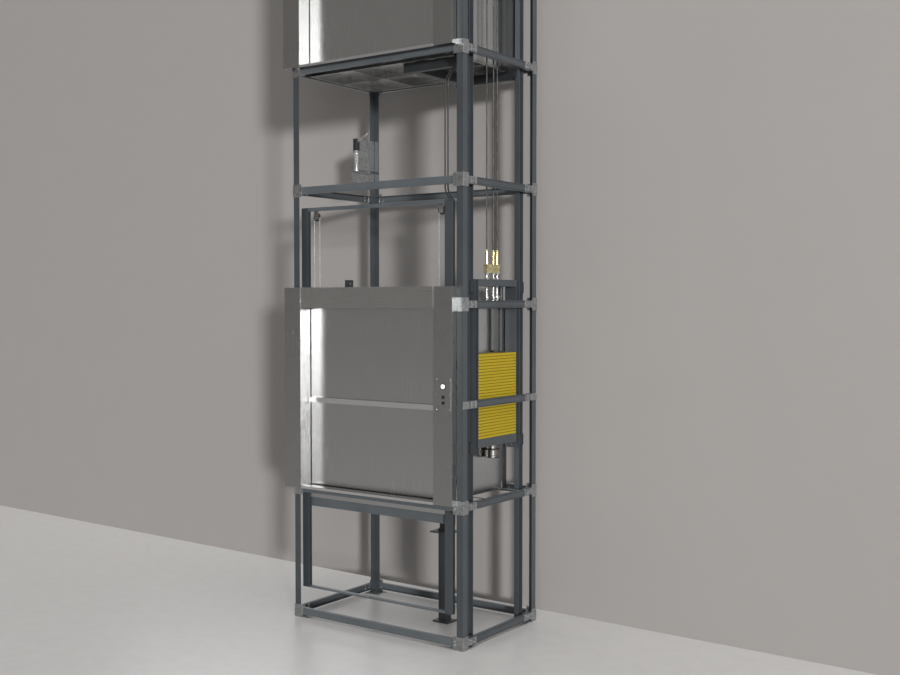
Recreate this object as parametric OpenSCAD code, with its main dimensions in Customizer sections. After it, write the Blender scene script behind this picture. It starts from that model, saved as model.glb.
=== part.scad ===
// Dumbwaiter lift: a bolted steel tower with two landing doors, a cantilevered
// car, a counterweight and a traction drive on top.  Millimetres, +Z up.
// The origin is on the floor, in the middle of the plan of the whole lift.
// Distances "from the left" or "from the front" start at the tower's outer faces.

/* [Tower] */
// Width of the tower, over the corner posts
tower_w = 1150; // [1050:10:1300]
// Depth of the tower, over the corner posts
tower_d = 708; // [690:2:800]
// Leg of the corner posts, which are equal angles
post_leg = 40; // [34:1:42]
// Wall of the corner posts
post_t = 4; // [3:0.5:6]
// Height of the ring beams
beam_h = 40; // [36:1:60]
// Depth of the ring beams
beam_d = 20; // [14:1:20]
// Wall of the ring beams
beam_t = 3; // [2:0.5:4]

/* [Levels] */
// Height of the centre of the lowest ring
foot_ring_z = 35; // [35:1:60]
// Height of the lower landing's sill, on top of its ring beam
sill_z = 748; // [700:1:900]
// Distance between the beams under and over a door opening
opening_h = 990; // [900:5:1000]
// Distance from the lower landing to the upper one
landing_rise = 2320; // [2300:10:3200]
// Height of the side beam that halves a door opening, over the ring under it
mid_ring_rise = 520; // [400:10:600]
// Distance from the ring over a door opening to the next ring
head_ring_rise = 628; // [560:4:700]
// Distance from the machine ring to the top ring
machine_room_h = 524; // [480:4:700]

/* [Corner brackets] */
// Height of a corner bracket
bracket_h = 70; // [66:1:70]
// Reach of a bracket's short leg
bracket_leg = 60; // [58:1:80]
// Width of the full height part of a bracket's long leg
bracket_side_w = 45; // [42:1:60]
// Reach of the tongue that a bracket lays over the side beam
tongue_reach = 120; // [116:1:150]
// Height of that tongue
tongue_h = 38; // [34:1:40]
// Sheet thickness of the brackets
bracket_t = 3; // [2:0.5:5]
// Thread size of the bracket bolts
bolt_d = 8; // [6:1:8]
// Width across the flats of the bolt heads and nuts
bolt_af = 13; // [10:1:13]
// Height of a bolt head
bolt_head_h = 5; // [4:0.5:7]
// Height of a nut
nut_h = 6; // [4:0.5:7]
// Play of a bolt in its hole, on the radius
bolt_play = 0.5; // [0.3:0.1:1]

/* [Feet and wall fixings] */
// Side of a square foot plate
foot_plate = 90; // [80:1:120]
// Thickness of a foot plate
foot_t = 5; // [4:0.5:8]
// Diameter of the floor anchor holes
anchor_d = 12; // [10:1:14]
// Distance between the two wall fixing holes of a rear beam
wall_hole_pitch = 800; // [600:10:900]
// Diameter of the wall fixing holes
wall_hole_d = 11; // [9:1:13]

/* [Door frames] */
// Distance of a door opening from the tower's left face
opening_left = 82; // [78:1:100]
// Distance of a door opening from the tower's right face
opening_right = 158; // [150:1:170]
// Width of a jamb's face
jamb_w = 118; // [100:1:130]
// Height of a lintel's face
lintel_h = 111; // [90:1:140]
// Distance of the frame's face in front of the tower
frame_proud = 40; // [36:1:60]
// Sheet thickness of the door frames
frame_t = 2; // [1.5:0.5:3]
// How far the frame reaches below the top of the ring beam under it
frame_drop = 10; // [6:1:20]
// Height of the lip in front of a sill
sill_lip = 14; // [10:1:20]

/* [Door guides and panels] */
// Distance of the door guides behind the tower's front face
guide_y = 42; // [41:1:44]
// Width of a door guide's channel
guide_w = 48; // [40:1:50]
// Depth of the lower door's guide channel
guide_d = 24; // [23:1:25]
// Wall of the guide channels
guide_t = 3; // [2:0.5:3]
// Distance between a guide and the edge of the opening
guide_lap = 14; // [8:1:16]
// Distance that the lower guides reach above and below the meeting line
guide_reach = 1065; // [1062:1:1080]
// Distance of the meeting line above the sill
meeting_rise = 480; // [476:1:490]
// Thickness of a door panel
panel_t = 16; // [14:1:16]
// Sheet thickness of the door panels
panel_skin = 2; // [1:0.5:3]
// Height of the lower door's panels
panel_h = 552; // [540:1:560]
// Travel of the lower door's panels
door_travel = 490; // [470:1:492]
// Height of the handle bars
bar_h = 28; // [20:1:32]
// Depth of the handle bars
bar_d = 23; // [16:1:23]
// Travel of the upper door's fast panel
fast_travel = 990; // [960:2:996]
// Lap of the upper door's two panels
panel_lap = 20; // [10:1:30]

/* [Door balance] */
// Radius of the rope in a door pulley
door_pulley_r = 20; // [15:1:22]
// Diameter of the door ropes
door_rope_d = 4; // [3:0.5:5]
// Distance of the door ropes from the edge of the opening
door_rope_in = 45; // [42:1:60]
// Width of a balance reel's tape
tape_w = 8; // [6:1:9]
// Thickness of that tape
tape_t = 1.5; // [1:0.5:2]
// Radius of the axle pins of the door pulleys
axle_r = 5; // [4:0.5:6]

/* [Call stations] */
// Width of a call plate
call_w = 92; // [70:1:94]
// Height of a call plate
call_h = 170; // [150:1:260]
// Height of a call plate's middle above the sill
call_rise = 555; // [450:5:600]
// Height of a call button above its plate's middle
button_rise = 40; // [30:1:44]
// Radius of a call button
button_r = 12; // [10:1:15]
// How far a call button stands proud of its plate
button_proud = 5; // [4:0.5:7]

/* [Guide rails] */
// Width of a guide rail, from its back to its open side
rail_w = 30; // [26:1:30]
// Depth of a guide rail between its flanges
rail_d = 40; // [36:1:42]
// Wall of the guide rails
rail_t = 3; // [2:0.5:4]
// Distance of the front rail behind the tower's front face
rail_front = 106; // [100:1:110]
// Distance of the rear rail in front of the tower's rear face
rail_back = 78; // [74:1:84]
// Distance of the rails' open side from the tower's right face
rail_in = 37; // [36:1:40]

/* [Counterweight] */
// Depth of the counterweight frame, front to back of its stiles in X
cw_d = 74; // [60:1:76]
// Width of a stile
stile_w = 34; // [28:1:38]
// Wall of the stiles and crossheads
stile_t = 3; // [2:0.5:4]
// Running gap between the counterweight and the rails
cw_gap = 5; // [4:0.5:7]
// Running gap between the counterweight and the side beams
cw_beam_gap = 10; // [8:1:12]
// Height of the bottom of the counterweight at rest
cw_bottom_z = 977; // [900:1:1000]
// Height of the counterweight frame
cw_h = 911; // [800:1:950]
// Height of the upper crosshead
crosshead_h = 36; // [30:1:50]
// Height of one filler weight
weight_h = 15.8; // [12:0.2:20]
// Number of filler weights
weight_count = 28; // [16:1:34]
// Diameter of the main ropes
rope_d = 8; // [6:0.5:9]
// Distance of the front and rear main ropes from the middle between the rails
rope_reach = 50; // [50:1:54]
// Distance of the middle main rope behind that middle
rope_middle = 14; // [0:1:14]
// Distance of the counterweight ropes from the tower's right face
cw_rope_in = 70; // [68:1:72]

/* [Counterweight screen] */
// Height of the screen
screen_h = 984; // [800:2:990]
// Distance of the screen's back from the tower's right face
screen_in = 110; // [108:1:111]
// Sheet thickness of the screen
screen_t = 1.5; // [1:0.5:2]

/* [Car] */
// Distance of the car's front edge behind the tower's front face
car_front = 88; // [87:1:100]
// Gap between the car's back and the tower's rear face
car_back = 53; // [50:1:80]
// Gap between the car and the tower's left face
car_left = 45; // [42:1:60]
// Gap between the car and the tower's right face
car_right = 120; // [118:1:125]
// Height of the car over its walls
car_h = 1062; // [1000:2:1080]
// Thickness of the car's floor
car_floor_h = 40; // [30:1:50]
// Thickness of the car's roof
car_roof_h = 23; // [18:1:30]
// Sheet thickness of the car
car_t = 3; // [2:0.5:4]
// Width of the car's front columns
car_column = 32; // [20:1:36]
// Height of the shelf above the floor
shelf_rise = 480; // [300:10:700]
// Height of the sling's arms
arm_h = 50; // [40:1:60]
// Distance that the sling's arms reach in from the car's right wall
arm_reach = 340; // [310:5:500]

/* [Drive] */
// Radius of the ropes on the traction sheave
sheave_r = 165; // [150:1:170]
// Height of the sheave's axle above the machine beams
sheave_rise = 154; // [145:1:170]
// Width of the sheave
sheave_w = 140; // [126:1:150]
// Radius of the sheave's shaft
shaft_r = 22; // [18:1:26]
// Height of a machine beam
machine_beam_h = 80; // [70:1:100]
// Width of a machine beam
machine_beam_w = 45; // [40:1:50]
// Radius of the motor
motor_r = 72; // [60:1:74]
// Length of the motor
motor_l = 290; // [250:5:320]

/* [Control cabinet] */
// Width of the cabinet
cabinet_w = 340; // [280:5:360]
// Height of the cabinet
cabinet_h = 440; // [380:5:450]
// Depth of the cabinet
cabinet_d = 155; // [120:1:156]
// Sheet thickness of the cabinet
cabinet_t = 2; // [1.5:0.5:3]

/* [Buffers and switch] */
// Height of the car's buffer stand
stand_h = 505; // [480:1:520]
// Side of the stand's column
stand_post = 50; // [40:1:60]
// Height of the car's buffer
buffer_h = 60; // [50:1:80]
// Radius of the counterweight's buffer
cw_buffer_r = 41; // [36:1:44]
// Height of the limit switch above the ring under it
switch_rise = 174; // [150:1:240]

/* [Hidden] */
$fn = 48;

// Colours
steel_blue = [0.28, 0.31, 0.33];
zinc = [0.72, 0.73, 0.74];
stainless = [0.62, 0.62, 0.62];
bright_steel = [0.82, 0.82, 0.83];
black_steel = [0.07, 0.08, 0.09];
weight_yellow = [0.78, 0.70, 0.06];
brass_yellow = [0.80, 0.68, 0.36];
rubber_black = [0.05, 0.05, 0.05];
drive_grey = [0.35, 0.38, 0.40];

// How far pieces stand out of the tower, which places the origin in the middle
side_proud = bracket_t + bolt_head_h;
frame_over = jamb_w - opening_left;
plate_t = 2;
front_proud = frame_proud + plate_t + button_proud;
left_x = -(tower_w + side_proud - frame_over) / 2;
right_x = left_x + tower_w;
front_y = -(tower_d + side_proud - front_proud) / 2;
back_y = front_y + tower_d;

function from_left(d) = left_x + d;
function from_right(d) = right_x - d;
function from_front(d) = front_y + d;
function from_back(d) = back_y - d;

// Clear distance between the two rails, and their middle from the tower's front
rail_gauge = tower_d - rail_front - rail_back - 2 * rail_d;
rail_mid = rail_front + rail_d + rail_gauge / 2;

// Ring heights
sill_ring_z = sill_z - beam_h / 2;
head_ring_z = sill_z + opening_h + beam_h / 2;
guide_ring_z = head_ring_z + head_ring_rise;
machine_ring_z = guide_ring_z + landing_rise;
top_ring_z = machine_ring_z + machine_room_h;
ring_zs = [foot_ring_z, sill_ring_z, head_ring_z, guide_ring_z, sill_ring_z + landing_rise,
    head_ring_z + landing_rise, machine_ring_z, top_ring_z];
mid_ring_zs = [sill_ring_z + mid_ring_rise, sill_ring_z + mid_ring_rise + landing_rise];
landings = [0, landing_rise];
tower_h = top_ring_z + bracket_h / 2;

// Bolt places on the bracket legs: distances from the tower's corner
short_holes = [bracket_leg - 9];
long_holes = [tongue_reach - 58, tongue_reach - 20];
hole_rise = 9;
bolt_hole_r = bolt_d / 2 + bolt_play;

// A box between two corners, given as [low, high] along each axis
module block(x, y, z) {
    translate([x[0], y[0], z[0]]) cube([x[1] - x[0], y[1] - y[0], z[1] - z[0]]);
}

// A channel's section: back on the Y axis, open towards +X
module channel_section(depth, height, wall) {
    difference() {
        square([depth, height]);
        translate([wall, wall]) square([depth, height - 2 * wall]);
    }
}

// A channel along +X that opens towards +Y
module channel_x(length, depth, height, wall) {
    rotate([90, 0, 90]) linear_extrude(length) channel_section(depth, height, wall);
}

// A channel along +Y that opens towards +X
module channel_y(length, depth, height, wall) {
    translate([0, length, 0]) rotate([90, 0, 0]) linear_extrude(length)
        channel_section(depth, height, wall);
}

// A tray: a sheet in the XZ plane with rims towards +Y
module tray(x, y, z, skin) {
    difference() {
        block(x, y, z);
        block([x[0] + skin, x[1] - skin], [y[0] + skin, y[1] + 1], [z[0] + skin, z[1] - skin]);
    }
}

// Places its children at the tower's corner k, with the tower along +X and +Y
module at_corner(k) {
    translate([(k == 1 || k == 2) ? right_x : left_x, k > 1 ? back_y : front_y, 0])
        rotate([0, 0, 90 * k]) children();
}

// --- Tower ---

module corner_posts() {
    color(steel_blue) for (k = [0:3]) at_corner(k) linear_extrude(tower_h) {
        square([post_leg, post_t]);
        square([post_t, post_leg]);
    }
}

// Holes in the web of a beam whose outer face lies in the XZ plane
module web_holes(places, length) {
    for (d = places, end = [d - post_leg, length - d + post_leg], rise = [-1, 1])
        translate([end, -1, beam_h / 2 + rise * hole_rise]) rotate([-90, 0, 0])
            cylinder(h = beam_t + 2, r = bolt_hole_r);
}

// One front or rear beam, drawn with its outer face in the XZ plane
module cross_beam(wall_holes) {
    length = tower_w - 2 * post_leg;
    difference() {
        channel_x(length, beam_d, beam_h, beam_t);
        web_holes(short_holes, length);
        if (wall_holes) for (side = [-1, 1])
            translate([length / 2 + side * wall_hole_pitch / 2, -1, beam_h / 2])
                rotate([-90, 0, 0]) cylinder(h = beam_t + 2, d = wall_hole_d);
    }
}

module cross_beams() {
    color(steel_blue) for (i = [0:len(ring_zs) - 1]) {
        low = ring_zs[i] - beam_h / 2;
        translate([from_left(post_leg), front_y, low]) cross_beam(false);
        translate([from_right(post_leg), back_y, low]) rotate([0, 0, 180])
            cross_beam(i == 1 || i == 6);
    }
}

// One side beam, drawn with its outer face in the XZ plane
module side_beam() {
    length = tower_d - 2 * post_leg;
    difference() {
        channel_x(length, beam_d, beam_h, beam_t);
        web_holes(long_holes, length);
    }
}

module side_beams() {
    color(steel_blue) {
        for (z = ring_zs) translate([left_x, from_front(tower_d - post_leg), z - beam_h / 2])
            rotate([0, 0, -90]) side_beam();
        for (z = concat(ring_zs, mid_ring_zs))
            translate([right_x, from_front(post_leg), z - beam_h / 2])
                rotate([0, 0, 90]) side_beam();
    }
}

// One leg of a corner bracket, along +X, with its back in the XZ plane
module bracket_leg_plate(full_w, reach, height, holes) {
    difference() {
        union() {
            block([-bracket_t, full_w], [-bracket_t, 0], [-height / 2, height / 2]);
            block([0, reach], [-bracket_t, 0], [-tongue_h / 2, tongue_h / 2]);
        }
        for (d = holes, rise = [-1, 1]) translate([d, -bracket_t - 1, rise * hole_rise])
            rotate([-90, 0, 0]) cylinder(h = bracket_t + 2, r = bolt_hole_r);
    }
}

module corner_bracket() {
    bracket_leg_plate(bracket_leg, bracket_leg, bracket_h, short_holes);
    mirror([1, -1, 0])
        bracket_leg_plate(bracket_side_w, tongue_reach, bracket_h, long_holes);
}

// Swaps its children's X and Y on the corners that are mirror images
module handed(k) {
    if (k % 2 == 1) mirror([1, -1, 0]) children();
    else children();
}

module corner_brackets() {
    color(zinc) {
        for (k = [0:3], z = ring_zs) at_corner(k) translate([0, 0, z]) handed(k)
            corner_bracket();
        for (k = [1, 2], z = mid_ring_zs) at_corner(k) translate([0, 0, z]) handed(k)
            mirror([1, -1, 0])
                bracket_leg_plate(bracket_side_w, tongue_reach, tongue_h, long_holes);
    }
}

// A bolt and its nut: the head lies below z = 0, the nut above z = grip
module bolt(grip) {
    corners = bolt_af / cos(30);
    translate([0, 0, -bolt_head_h]) cylinder(h = bolt_head_h, d = corners, $fn = 6);
    cylinder(h = grip + nut_h + 2, d = bolt_d, $fn = 24);
    translate([0, 0, grip]) cylinder(h = nut_h, d = corners, $fn = 6);
}

// The bolts of one bracket leg
module leg_bolts(holes) {
    for (d = holes, rise = [-1, 1]) translate([d, -bracket_t, rise * hole_rise])
        rotate([-90, 0, 0]) bolt(bracket_t + beam_t);
}

module bracket_bolts() {
    color(bright_steel) {
        for (k = [0:3], z = ring_zs) at_corner(k) translate([0, 0, z]) handed(k) {
            leg_bolts(short_holes);
            mirror([1, -1, 0]) leg_bolts(long_holes);
        }
        for (k = [1, 2], z = mid_ring_zs) at_corner(k) translate([0, 0, z]) handed(k)
            mirror([1, -1, 0]) leg_bolts(long_holes);
    }
}

module foot_plates() {
    color(zinc) for (k = [0:3]) at_corner(k) translate([post_t, post_t, 0]) difference() {
        cube([foot_plate, foot_plate, foot_t]);
        translate([foot_plate / 2, foot_plate / 2, -1]) cylinder(h = foot_t + 2, d = anchor_d);
    }
}

// --- Guide rails and their neighbours ---

rail_top_z = machine_ring_z - beam_h / 2;
rail_x = [from_right(rail_in + rail_w), from_right(rail_in)];
front_rail_y = from_front(rail_front);
rear_rail_y = from_back(rail_back + rail_d);

// The rails start at the height of the foot plates, one of which reaches under a rail
module guide_rails() {
    color(steel_blue) for (y = [front_rail_y, rear_rail_y])
        translate([rail_x[0], y, foot_t]) linear_extrude(rail_top_z - foot_t)
            channel_section(rail_w, rail_d, rail_t);
}

// A clip is an angle between a rail's outer flange and a side beam
clip_t = 4;
clip_plate = 34;
clip_lap = 14;

module rail_clip() {
    block([rail_x[1] - clip_lap, from_right(beam_d)], [-clip_t, 0], [-15, 15]);
    block([from_right(beam_d) - clip_t, from_right(beam_d)], [-clip_plate, 0],
        [-beam_h / 2, beam_h / 2]);
}

module rail_clips() {
    color(zinc) for (z = concat([for (i = [0:5]) ring_zs[i]], mid_ring_zs)) {
        translate([0, front_rail_y, z]) rail_clip();
        translate([0, rear_rail_y + rail_d, z]) mirror([0, 1, 0]) rail_clip();
    }
}

// The screen is a folded sheet that stands on the side beam over the lower sill ring
screen_z = sill_z + 2;
screen_fold = 12;
screen_y = [from_front(rail_mid - rail_gauge / 2 + 14), from_front(rail_mid + rail_gauge / 2 - 14)];
screen_x = from_right(screen_in);

module counterweight_screen() {
    color(stainless) {
        block([screen_x, screen_x + screen_t], screen_y, [screen_z, screen_z + screen_h]);
        for (y = [screen_y[0], screen_y[1] - screen_t])
            block([screen_x - 4, screen_x + screen_t], [y, y + screen_t],
                [screen_z, screen_z + screen_h]);
        for (y = [screen_y[0] + 40, screen_y[1] - 40 - screen_fold]) {
            block([screen_x + screen_t, from_right(beam_t)], [y, y + screen_fold],
                [sill_z, sill_z + 3]);
            block([screen_x + screen_t, screen_x + screen_t + 3], [y, y + screen_fold],
                [sill_z, sill_z + 40]);
        }
    }
}

// The stand is under the car's ropes, a little behind the middle between the rails
stand_x = from_right(cw_rope_in + 2 * sheave_r);
stand_behind = 32;
stand_y = from_front(rail_mid + stand_behind);
stand_base = [105, 88, 8];
stand_top = [130, 105, 8];

module buffer_stand() {
    color(steel_blue) difference() {
        union() {
            translate([stand_x - stand_base[0] / 2, stand_y - stand_base[1] / 2, 0])
                cube(stand_base);
            translate([stand_x - stand_post / 2, stand_y - stand_post / 2, stand_base[2]])
                cube([stand_post, stand_post, stand_h - stand_base[2] - stand_top[2]]);
            translate([stand_x - stand_top[0] / 2, stand_y - stand_top[1] / 2,
                stand_h - stand_top[2]]) cube(stand_top);
        }
        // The column is hollow and open at the floor
        translate([stand_x - stand_post / 2 + 4, stand_y - stand_post / 2 + 4, -1])
            cube([stand_post - 8, stand_post - 8, stand_h - stand_top[2] + 1]);
    }
}

module buffer_pad() {
    color(rubber_black) translate([stand_x, stand_y, stand_h]) rotate_extrude()
        polygon([[0, 0], [38, 0], [38, 10], [28, 18], [28, buffer_h - 22], [34, buffer_h - 12],
            [34, buffer_h - 4], [30, buffer_h], [0, buffer_h]]);
}

// --- Landing doors ---

open_x = [from_left(opening_left), from_right(opening_right)];
open_y = [from_front(-frame_proud), from_front(guide_y - 1)];
frame_z = [sill_z - frame_drop, sill_z + opening_h + lintel_h];
button_x = open_x[1] + jamb_w / 2 + 5;
button_z = sill_z + call_rise + button_rise;
station_y = [from_front(-frame_proud + frame_t), from_front(-4)];

// A jamb, drawn for the left side: its face, its outer return and its reveal
module jamb(inner_x) {
    block([inner_x - jamb_w, inner_x], [open_y[0], open_y[0] + frame_t], frame_z);
    block([inner_x - jamb_w, inner_x - jamb_w + frame_t],
        [open_y[0], from_front(-bracket_t)], frame_z);
    block([inner_x - frame_t, inner_x], open_y, [sill_z + frame_t, sill_z + opening_h - frame_t]);
}

module door_jambs() {
    mid = (open_x[0] + open_x[1]) / 2;
    color(stainless) for (rise = landings) translate([0, 0, rise]) {
        jamb(open_x[0]);
        difference() {
            translate([2 * mid, 0, 0]) mirror([1, 0, 0]) jamb(open_x[0]);
            translate([button_x, open_y[0] - 1, button_z]) rotate([-90, 0, 0])
                cylinder(h = frame_t + 2, r = button_r + 1);
        }
        // Angles that hold the left jamb to the corner post
        for (z = [frame_z[0] + 120, frame_z[1] - 180]) {
            block([left_x + 4, left_x + 34], [front_y - 3, front_y], [z, z + 40]);
            block([left_x + 4, left_x + 7], [open_y[0] + frame_t, front_y - 3], [z, z + 40]);
        }
    }
}

module door_lintels() {
    color(stainless) for (rise = landings) translate([0, 0, rise]) {
        block(open_x, [open_y[0], open_y[0] + frame_t], [sill_z + opening_h - frame_t, frame_z[1]]);
        block(open_x, [open_y[0], from_front(beam_d)],
            [sill_z + opening_h - frame_t, sill_z + opening_h]);
        block(open_x, [open_y[0], front_y], [frame_z[1] - frame_t, frame_z[1]]);
    }
}

module door_sills() {
    color(bright_steel) for (rise = landings) translate([0, 0, rise]) {
        block(open_x, [open_y[0], from_front(beam_d)], [sill_z, sill_z + frame_t]);
        block(open_x, [open_y[0], open_y[0] + frame_t], [sill_z + frame_t - sill_lip, sill_z]);
    }
}

guide_left = open_x[0] - guide_lap;
guide_right = open_x[1] + guide_lap;
guide_back = [from_front(guide_y), from_front(guide_y + guide_d)];
meeting_z = sill_z + meeting_rise;
guide_z = [meeting_z - guide_reach, meeting_z + guide_reach];
panel_play = 1;
fast_y = from_front(guide_y + guide_t + panel_play);
slow_y = fast_y + panel_t + 2 * panel_play + guide_t / 2;
slow_t = 13;
upper_guide_d = slow_y + slow_t + panel_play + guide_t - guide_back[0];
upper_sill_z = sill_z + landing_rise;
upper_meeting_z = upper_sill_z + meeting_rise;
fast_z = [upper_sill_z - 16, upper_meeting_z + panel_lap / 2];
slow_z = [upper_meeting_z - panel_lap / 2, upper_sill_z + opening_h + 40];
upper_guide_z = [upper_sill_z - 36, slow_z[1] + fast_travel / 2 + 24];

// A guide channel with its back at x = 0, open towards +X
module guide_channel(depth, z) {
    translate([0, guide_back[0], z[0]]) linear_extrude(z[1] - z[0]) difference() {
        square([guide_w, depth]);
        translate([guide_t, guide_t]) square([guide_w, depth - 2 * guide_t]);
    }
}

// A double channel: the web between its tracks keeps the two panels apart
module double_channel(z) {
    guide_channel(upper_guide_d, z);
    web_y = fast_y + panel_t + panel_play;
    block([0, guide_w], [web_y, web_y + guide_t / 2], z);
}

module door_guide_posts() {
    color(steel_blue) {
        translate([guide_left - guide_w, 0, 0]) guide_channel(guide_d, guide_z);
        translate([guide_right + guide_w, 0, 0]) mirror([1, 0, 0])
            guide_channel(guide_d, guide_z);
        translate([guide_left - guide_w, 0, 0]) double_channel(upper_guide_z);
        translate([guide_right + guide_w, 0, 0]) mirror([1, 0, 0])
            double_channel(upper_guide_z);
    }
}

head_h = 20;
foot_h = 10;
cross_tie_h = 70;

module door_guide_ties() {
    span = [guide_left, guide_right];
    wide = [guide_left - guide_w, guide_right + guide_w];
    color(steel_blue) {
        block(span, guide_back, [guide_z[1] - head_h, guide_z[1]]);
        block(span, guide_back, [guide_z[0], guide_z[0] + foot_h]);
        block(wide, [guide_back[1], guide_back[1] + 4],
            [sill_z - 56 - cross_tie_h, sill_z - 56]);
        block(span, [guide_back[0], slow_y - 2], [upper_guide_z[1] - head_h + 4, upper_guide_z[1]]);
        // Brackets between the ring beams' flanges and the guides
        for (x = [guide_left - guide_w + 6, guide_right + 6], rise = landings,
            z = [sill_ring_z, head_ring_z])
            block([x, x + 36], [from_front(beam_d), guide_back[0]],
                [z + rise - beam_h / 2, z + rise + beam_h / 2]);
    }
}

panel_x = [guide_left - guide_w + guide_t + 3, guide_right + guide_w - guide_t - 3];
fast_panel_y = [fast_y, fast_y + panel_t];
lift_xs = [open_x[0] + door_rope_in, open_x[1] - door_rope_in];
pulley_xs = [lift_xs[0] - door_pulley_r, lift_xs[1] + door_pulley_r];
drop_xs = [lift_xs[0] - 2 * door_pulley_r, lift_xs[1] + 2 * door_pulley_r];
door_rope_y = guide_back[1] + 8;
pulley_z = guide_z[1] - 50;
hitch_h = 20;
lift_hitch_z = meeting_z + panel_h - 70;
drop_hitch_z = meeting_z - 14;

// Blocks that hold the door ropes, with their tops at z
module rope_hitches(xs, z) {
    for (x = xs) block([x - 8, x + 8], [fast_y + panel_skin, door_rope_y + 4], [z - hitch_h, z]);
}

// A panel with runner pads at its corners, which slide along the guides' webs
runner_gap = 0.3;
runner_h = 60;

module door_panel(y, z) {
    web_x = [guide_left - guide_w + guide_t, guide_right + guide_w - guide_t];
    tray(panel_x, y, z, panel_skin);
    for (low = [z[0] + 20, z[1] - 20 - runner_h]) {
        block([web_x[0] + runner_gap, panel_x[0]], y, [low, low + runner_h]);
        block([panel_x[1], web_x[1] - runner_gap], y, [low, low + runner_h]);
    }
}

module lower_door_top_panel() {
    color(stainless) {
        door_panel(fast_panel_y, [meeting_z, meeting_z + panel_h]);
        rope_hitches(lift_xs, lift_hitch_z);
    }
}

module lower_door_bottom_panel() {
    color(stainless) {
        door_panel(fast_panel_y, [meeting_z - panel_h, meeting_z - 1]);
        rope_hitches(drop_xs, drop_hitch_z);
    }
}

module upper_door_fast_panel() {
    color(stainless) door_panel(fast_panel_y, fast_z);
}

module upper_door_slow_panel() {
    color(stainless) door_panel([slow_y, slow_y + slow_t], slow_z);
}

// A handle bar in front of a panel, over the meeting line at height z
bar_over = 12;
bar_pad = 30;

module handle_bar(z) {
    bar_x = [open_x[0] + 4, open_x[1] - 4];
    bar_y = [fast_y - 0.5 - bar_d, fast_y - 0.5];
    low = z + bar_over - bar_h;
    color(bright_steel) {
        tray(bar_x, bar_y, [low, low + bar_h], panel_skin);
        // Pads that hold the bar to its panel under the meeting line
        for (x = [bar_x[0], bar_x[1] - bar_pad])
            block([x, x + bar_pad], [bar_y[0], fast_y], [low, z - 2]);
    }
}

module lower_door_handle() {
    handle_bar(meeting_z);
}

module upper_door_handle() {
    handle_bar(upper_meeting_z);
}

reel_y = slow_y + slow_t / 2;
reel_z = upper_guide_z[1] + 30;
rim_h = 3;

// A pulley or reel in the XZ plane, centred on y = 0
module pulley(width, groove_r) {
    rotate([90, 0, 0]) difference() {
        translate([0, 0, -width / 2]) cylinder(h = width, r = door_pulley_r + rim_h);
        translate([0, 0, -width / 2 - 1]) cylinder(h = width + 2, r = axle_r + 0.05);
        rotate_extrude() translate([door_pulley_r, 0]) {
            circle(r = groove_r, $fn = 24);
            translate([0, -groove_r]) square([rim_h + 1, 2 * groove_r]);
        }
    }
}

module door_pulley(side) {
    color(black_steel) translate([pulley_xs[side], door_rope_y, pulley_z])
        pulley(8, door_rope_d / 2 + 0.3);
}

module balance_reel(side) {
    color(black_steel) translate([pulley_xs[side], reel_y, reel_z]) rotate([90, 0, 0])
        difference() {
            translate([0, 0, -tape_w / 2 - 0.5]) cylinder(h = tape_w + 1,
                r = door_pulley_r - tape_t / 2 - 0.3);
            translate([0, 0, -tape_w]) cylinder(h = 2 * tape_w, r = axle_r + 0.05);
        }
}

module left_door_pulley() { door_pulley(0); }
module right_door_pulley() { door_pulley(1); }
module left_balance_reel() { balance_reel(0); }
module right_balance_reel() { balance_reel(1); }

// A pulley's plate and its pin, whose middle is at x = 0 and z = 0
module pulley_bracket(plate_y, z, wheel_y, wheel_w) {
    pin_end = wheel_y + wheel_w / 2 + 0.5;
    block([-14, 14], [plate_y - 3, plate_y], z);
    translate([0, plate_y, 0]) rotate([-90, 0, 0]) cylinder(h = pin_end + 2 - plate_y, r = axle_r);
    translate([0, pin_end, 0]) rotate([-90, 0, 0]) cylinder(h = 2, r = axle_r + 2);
}

module door_pulley_brackets() {
    color(zinc) for (x = pulley_xs) {
        translate([x, 0, pulley_z])
            pulley_bracket(guide_back[1] + 3, [-16, guide_z[1] - pulley_z], door_rope_y, 8);
        translate([x, 0, reel_z])
            pulley_bracket(slow_y - 2, [upper_guide_z[1] - reel_z, 16], reel_y, tape_w + 1);
    }
}

module door_lift_ropes() {
    color(bright_steel) for (x = lift_xs) translate([x, door_rope_y, lift_hitch_z])
        cylinder(h = pulley_z - lift_hitch_z, d = door_rope_d, $fn = 24);
}

module door_drop_ropes() {
    color(bright_steel) for (x = drop_xs) translate([x, door_rope_y, drop_hitch_z])
        cylinder(h = pulley_z - drop_hitch_z, d = door_rope_d, $fn = 24);
}

module door_balance_tapes() {
    color(bright_steel) for (x = lift_xs)
        block([x - tape_t / 2, x + tape_t / 2], [reel_y - tape_w / 2, reel_y + tape_w / 2],
            [slow_z[1], reel_z]);
}

lock_x = guide_left + 303;
lock_w = 30;
lock_h = 110;
// The upper lock is shallow, because the upper handle bar passes behind it
lock_backs = [38, beam_d];

module door_locks() {
    color(black_steel) for (i = [0, 1]) translate([0, 0, landings[i]])
        block([lock_x, lock_x + lock_w], [from_front(2), from_front(lock_backs[i])],
            [head_ring_z + beam_h / 2, head_ring_z + beam_h / 2 + lock_h]);
}

// --- Call stations ---

station_z = sill_z + call_rise;
box_w = call_w - 14;
box_h = call_h - 24;

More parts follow.
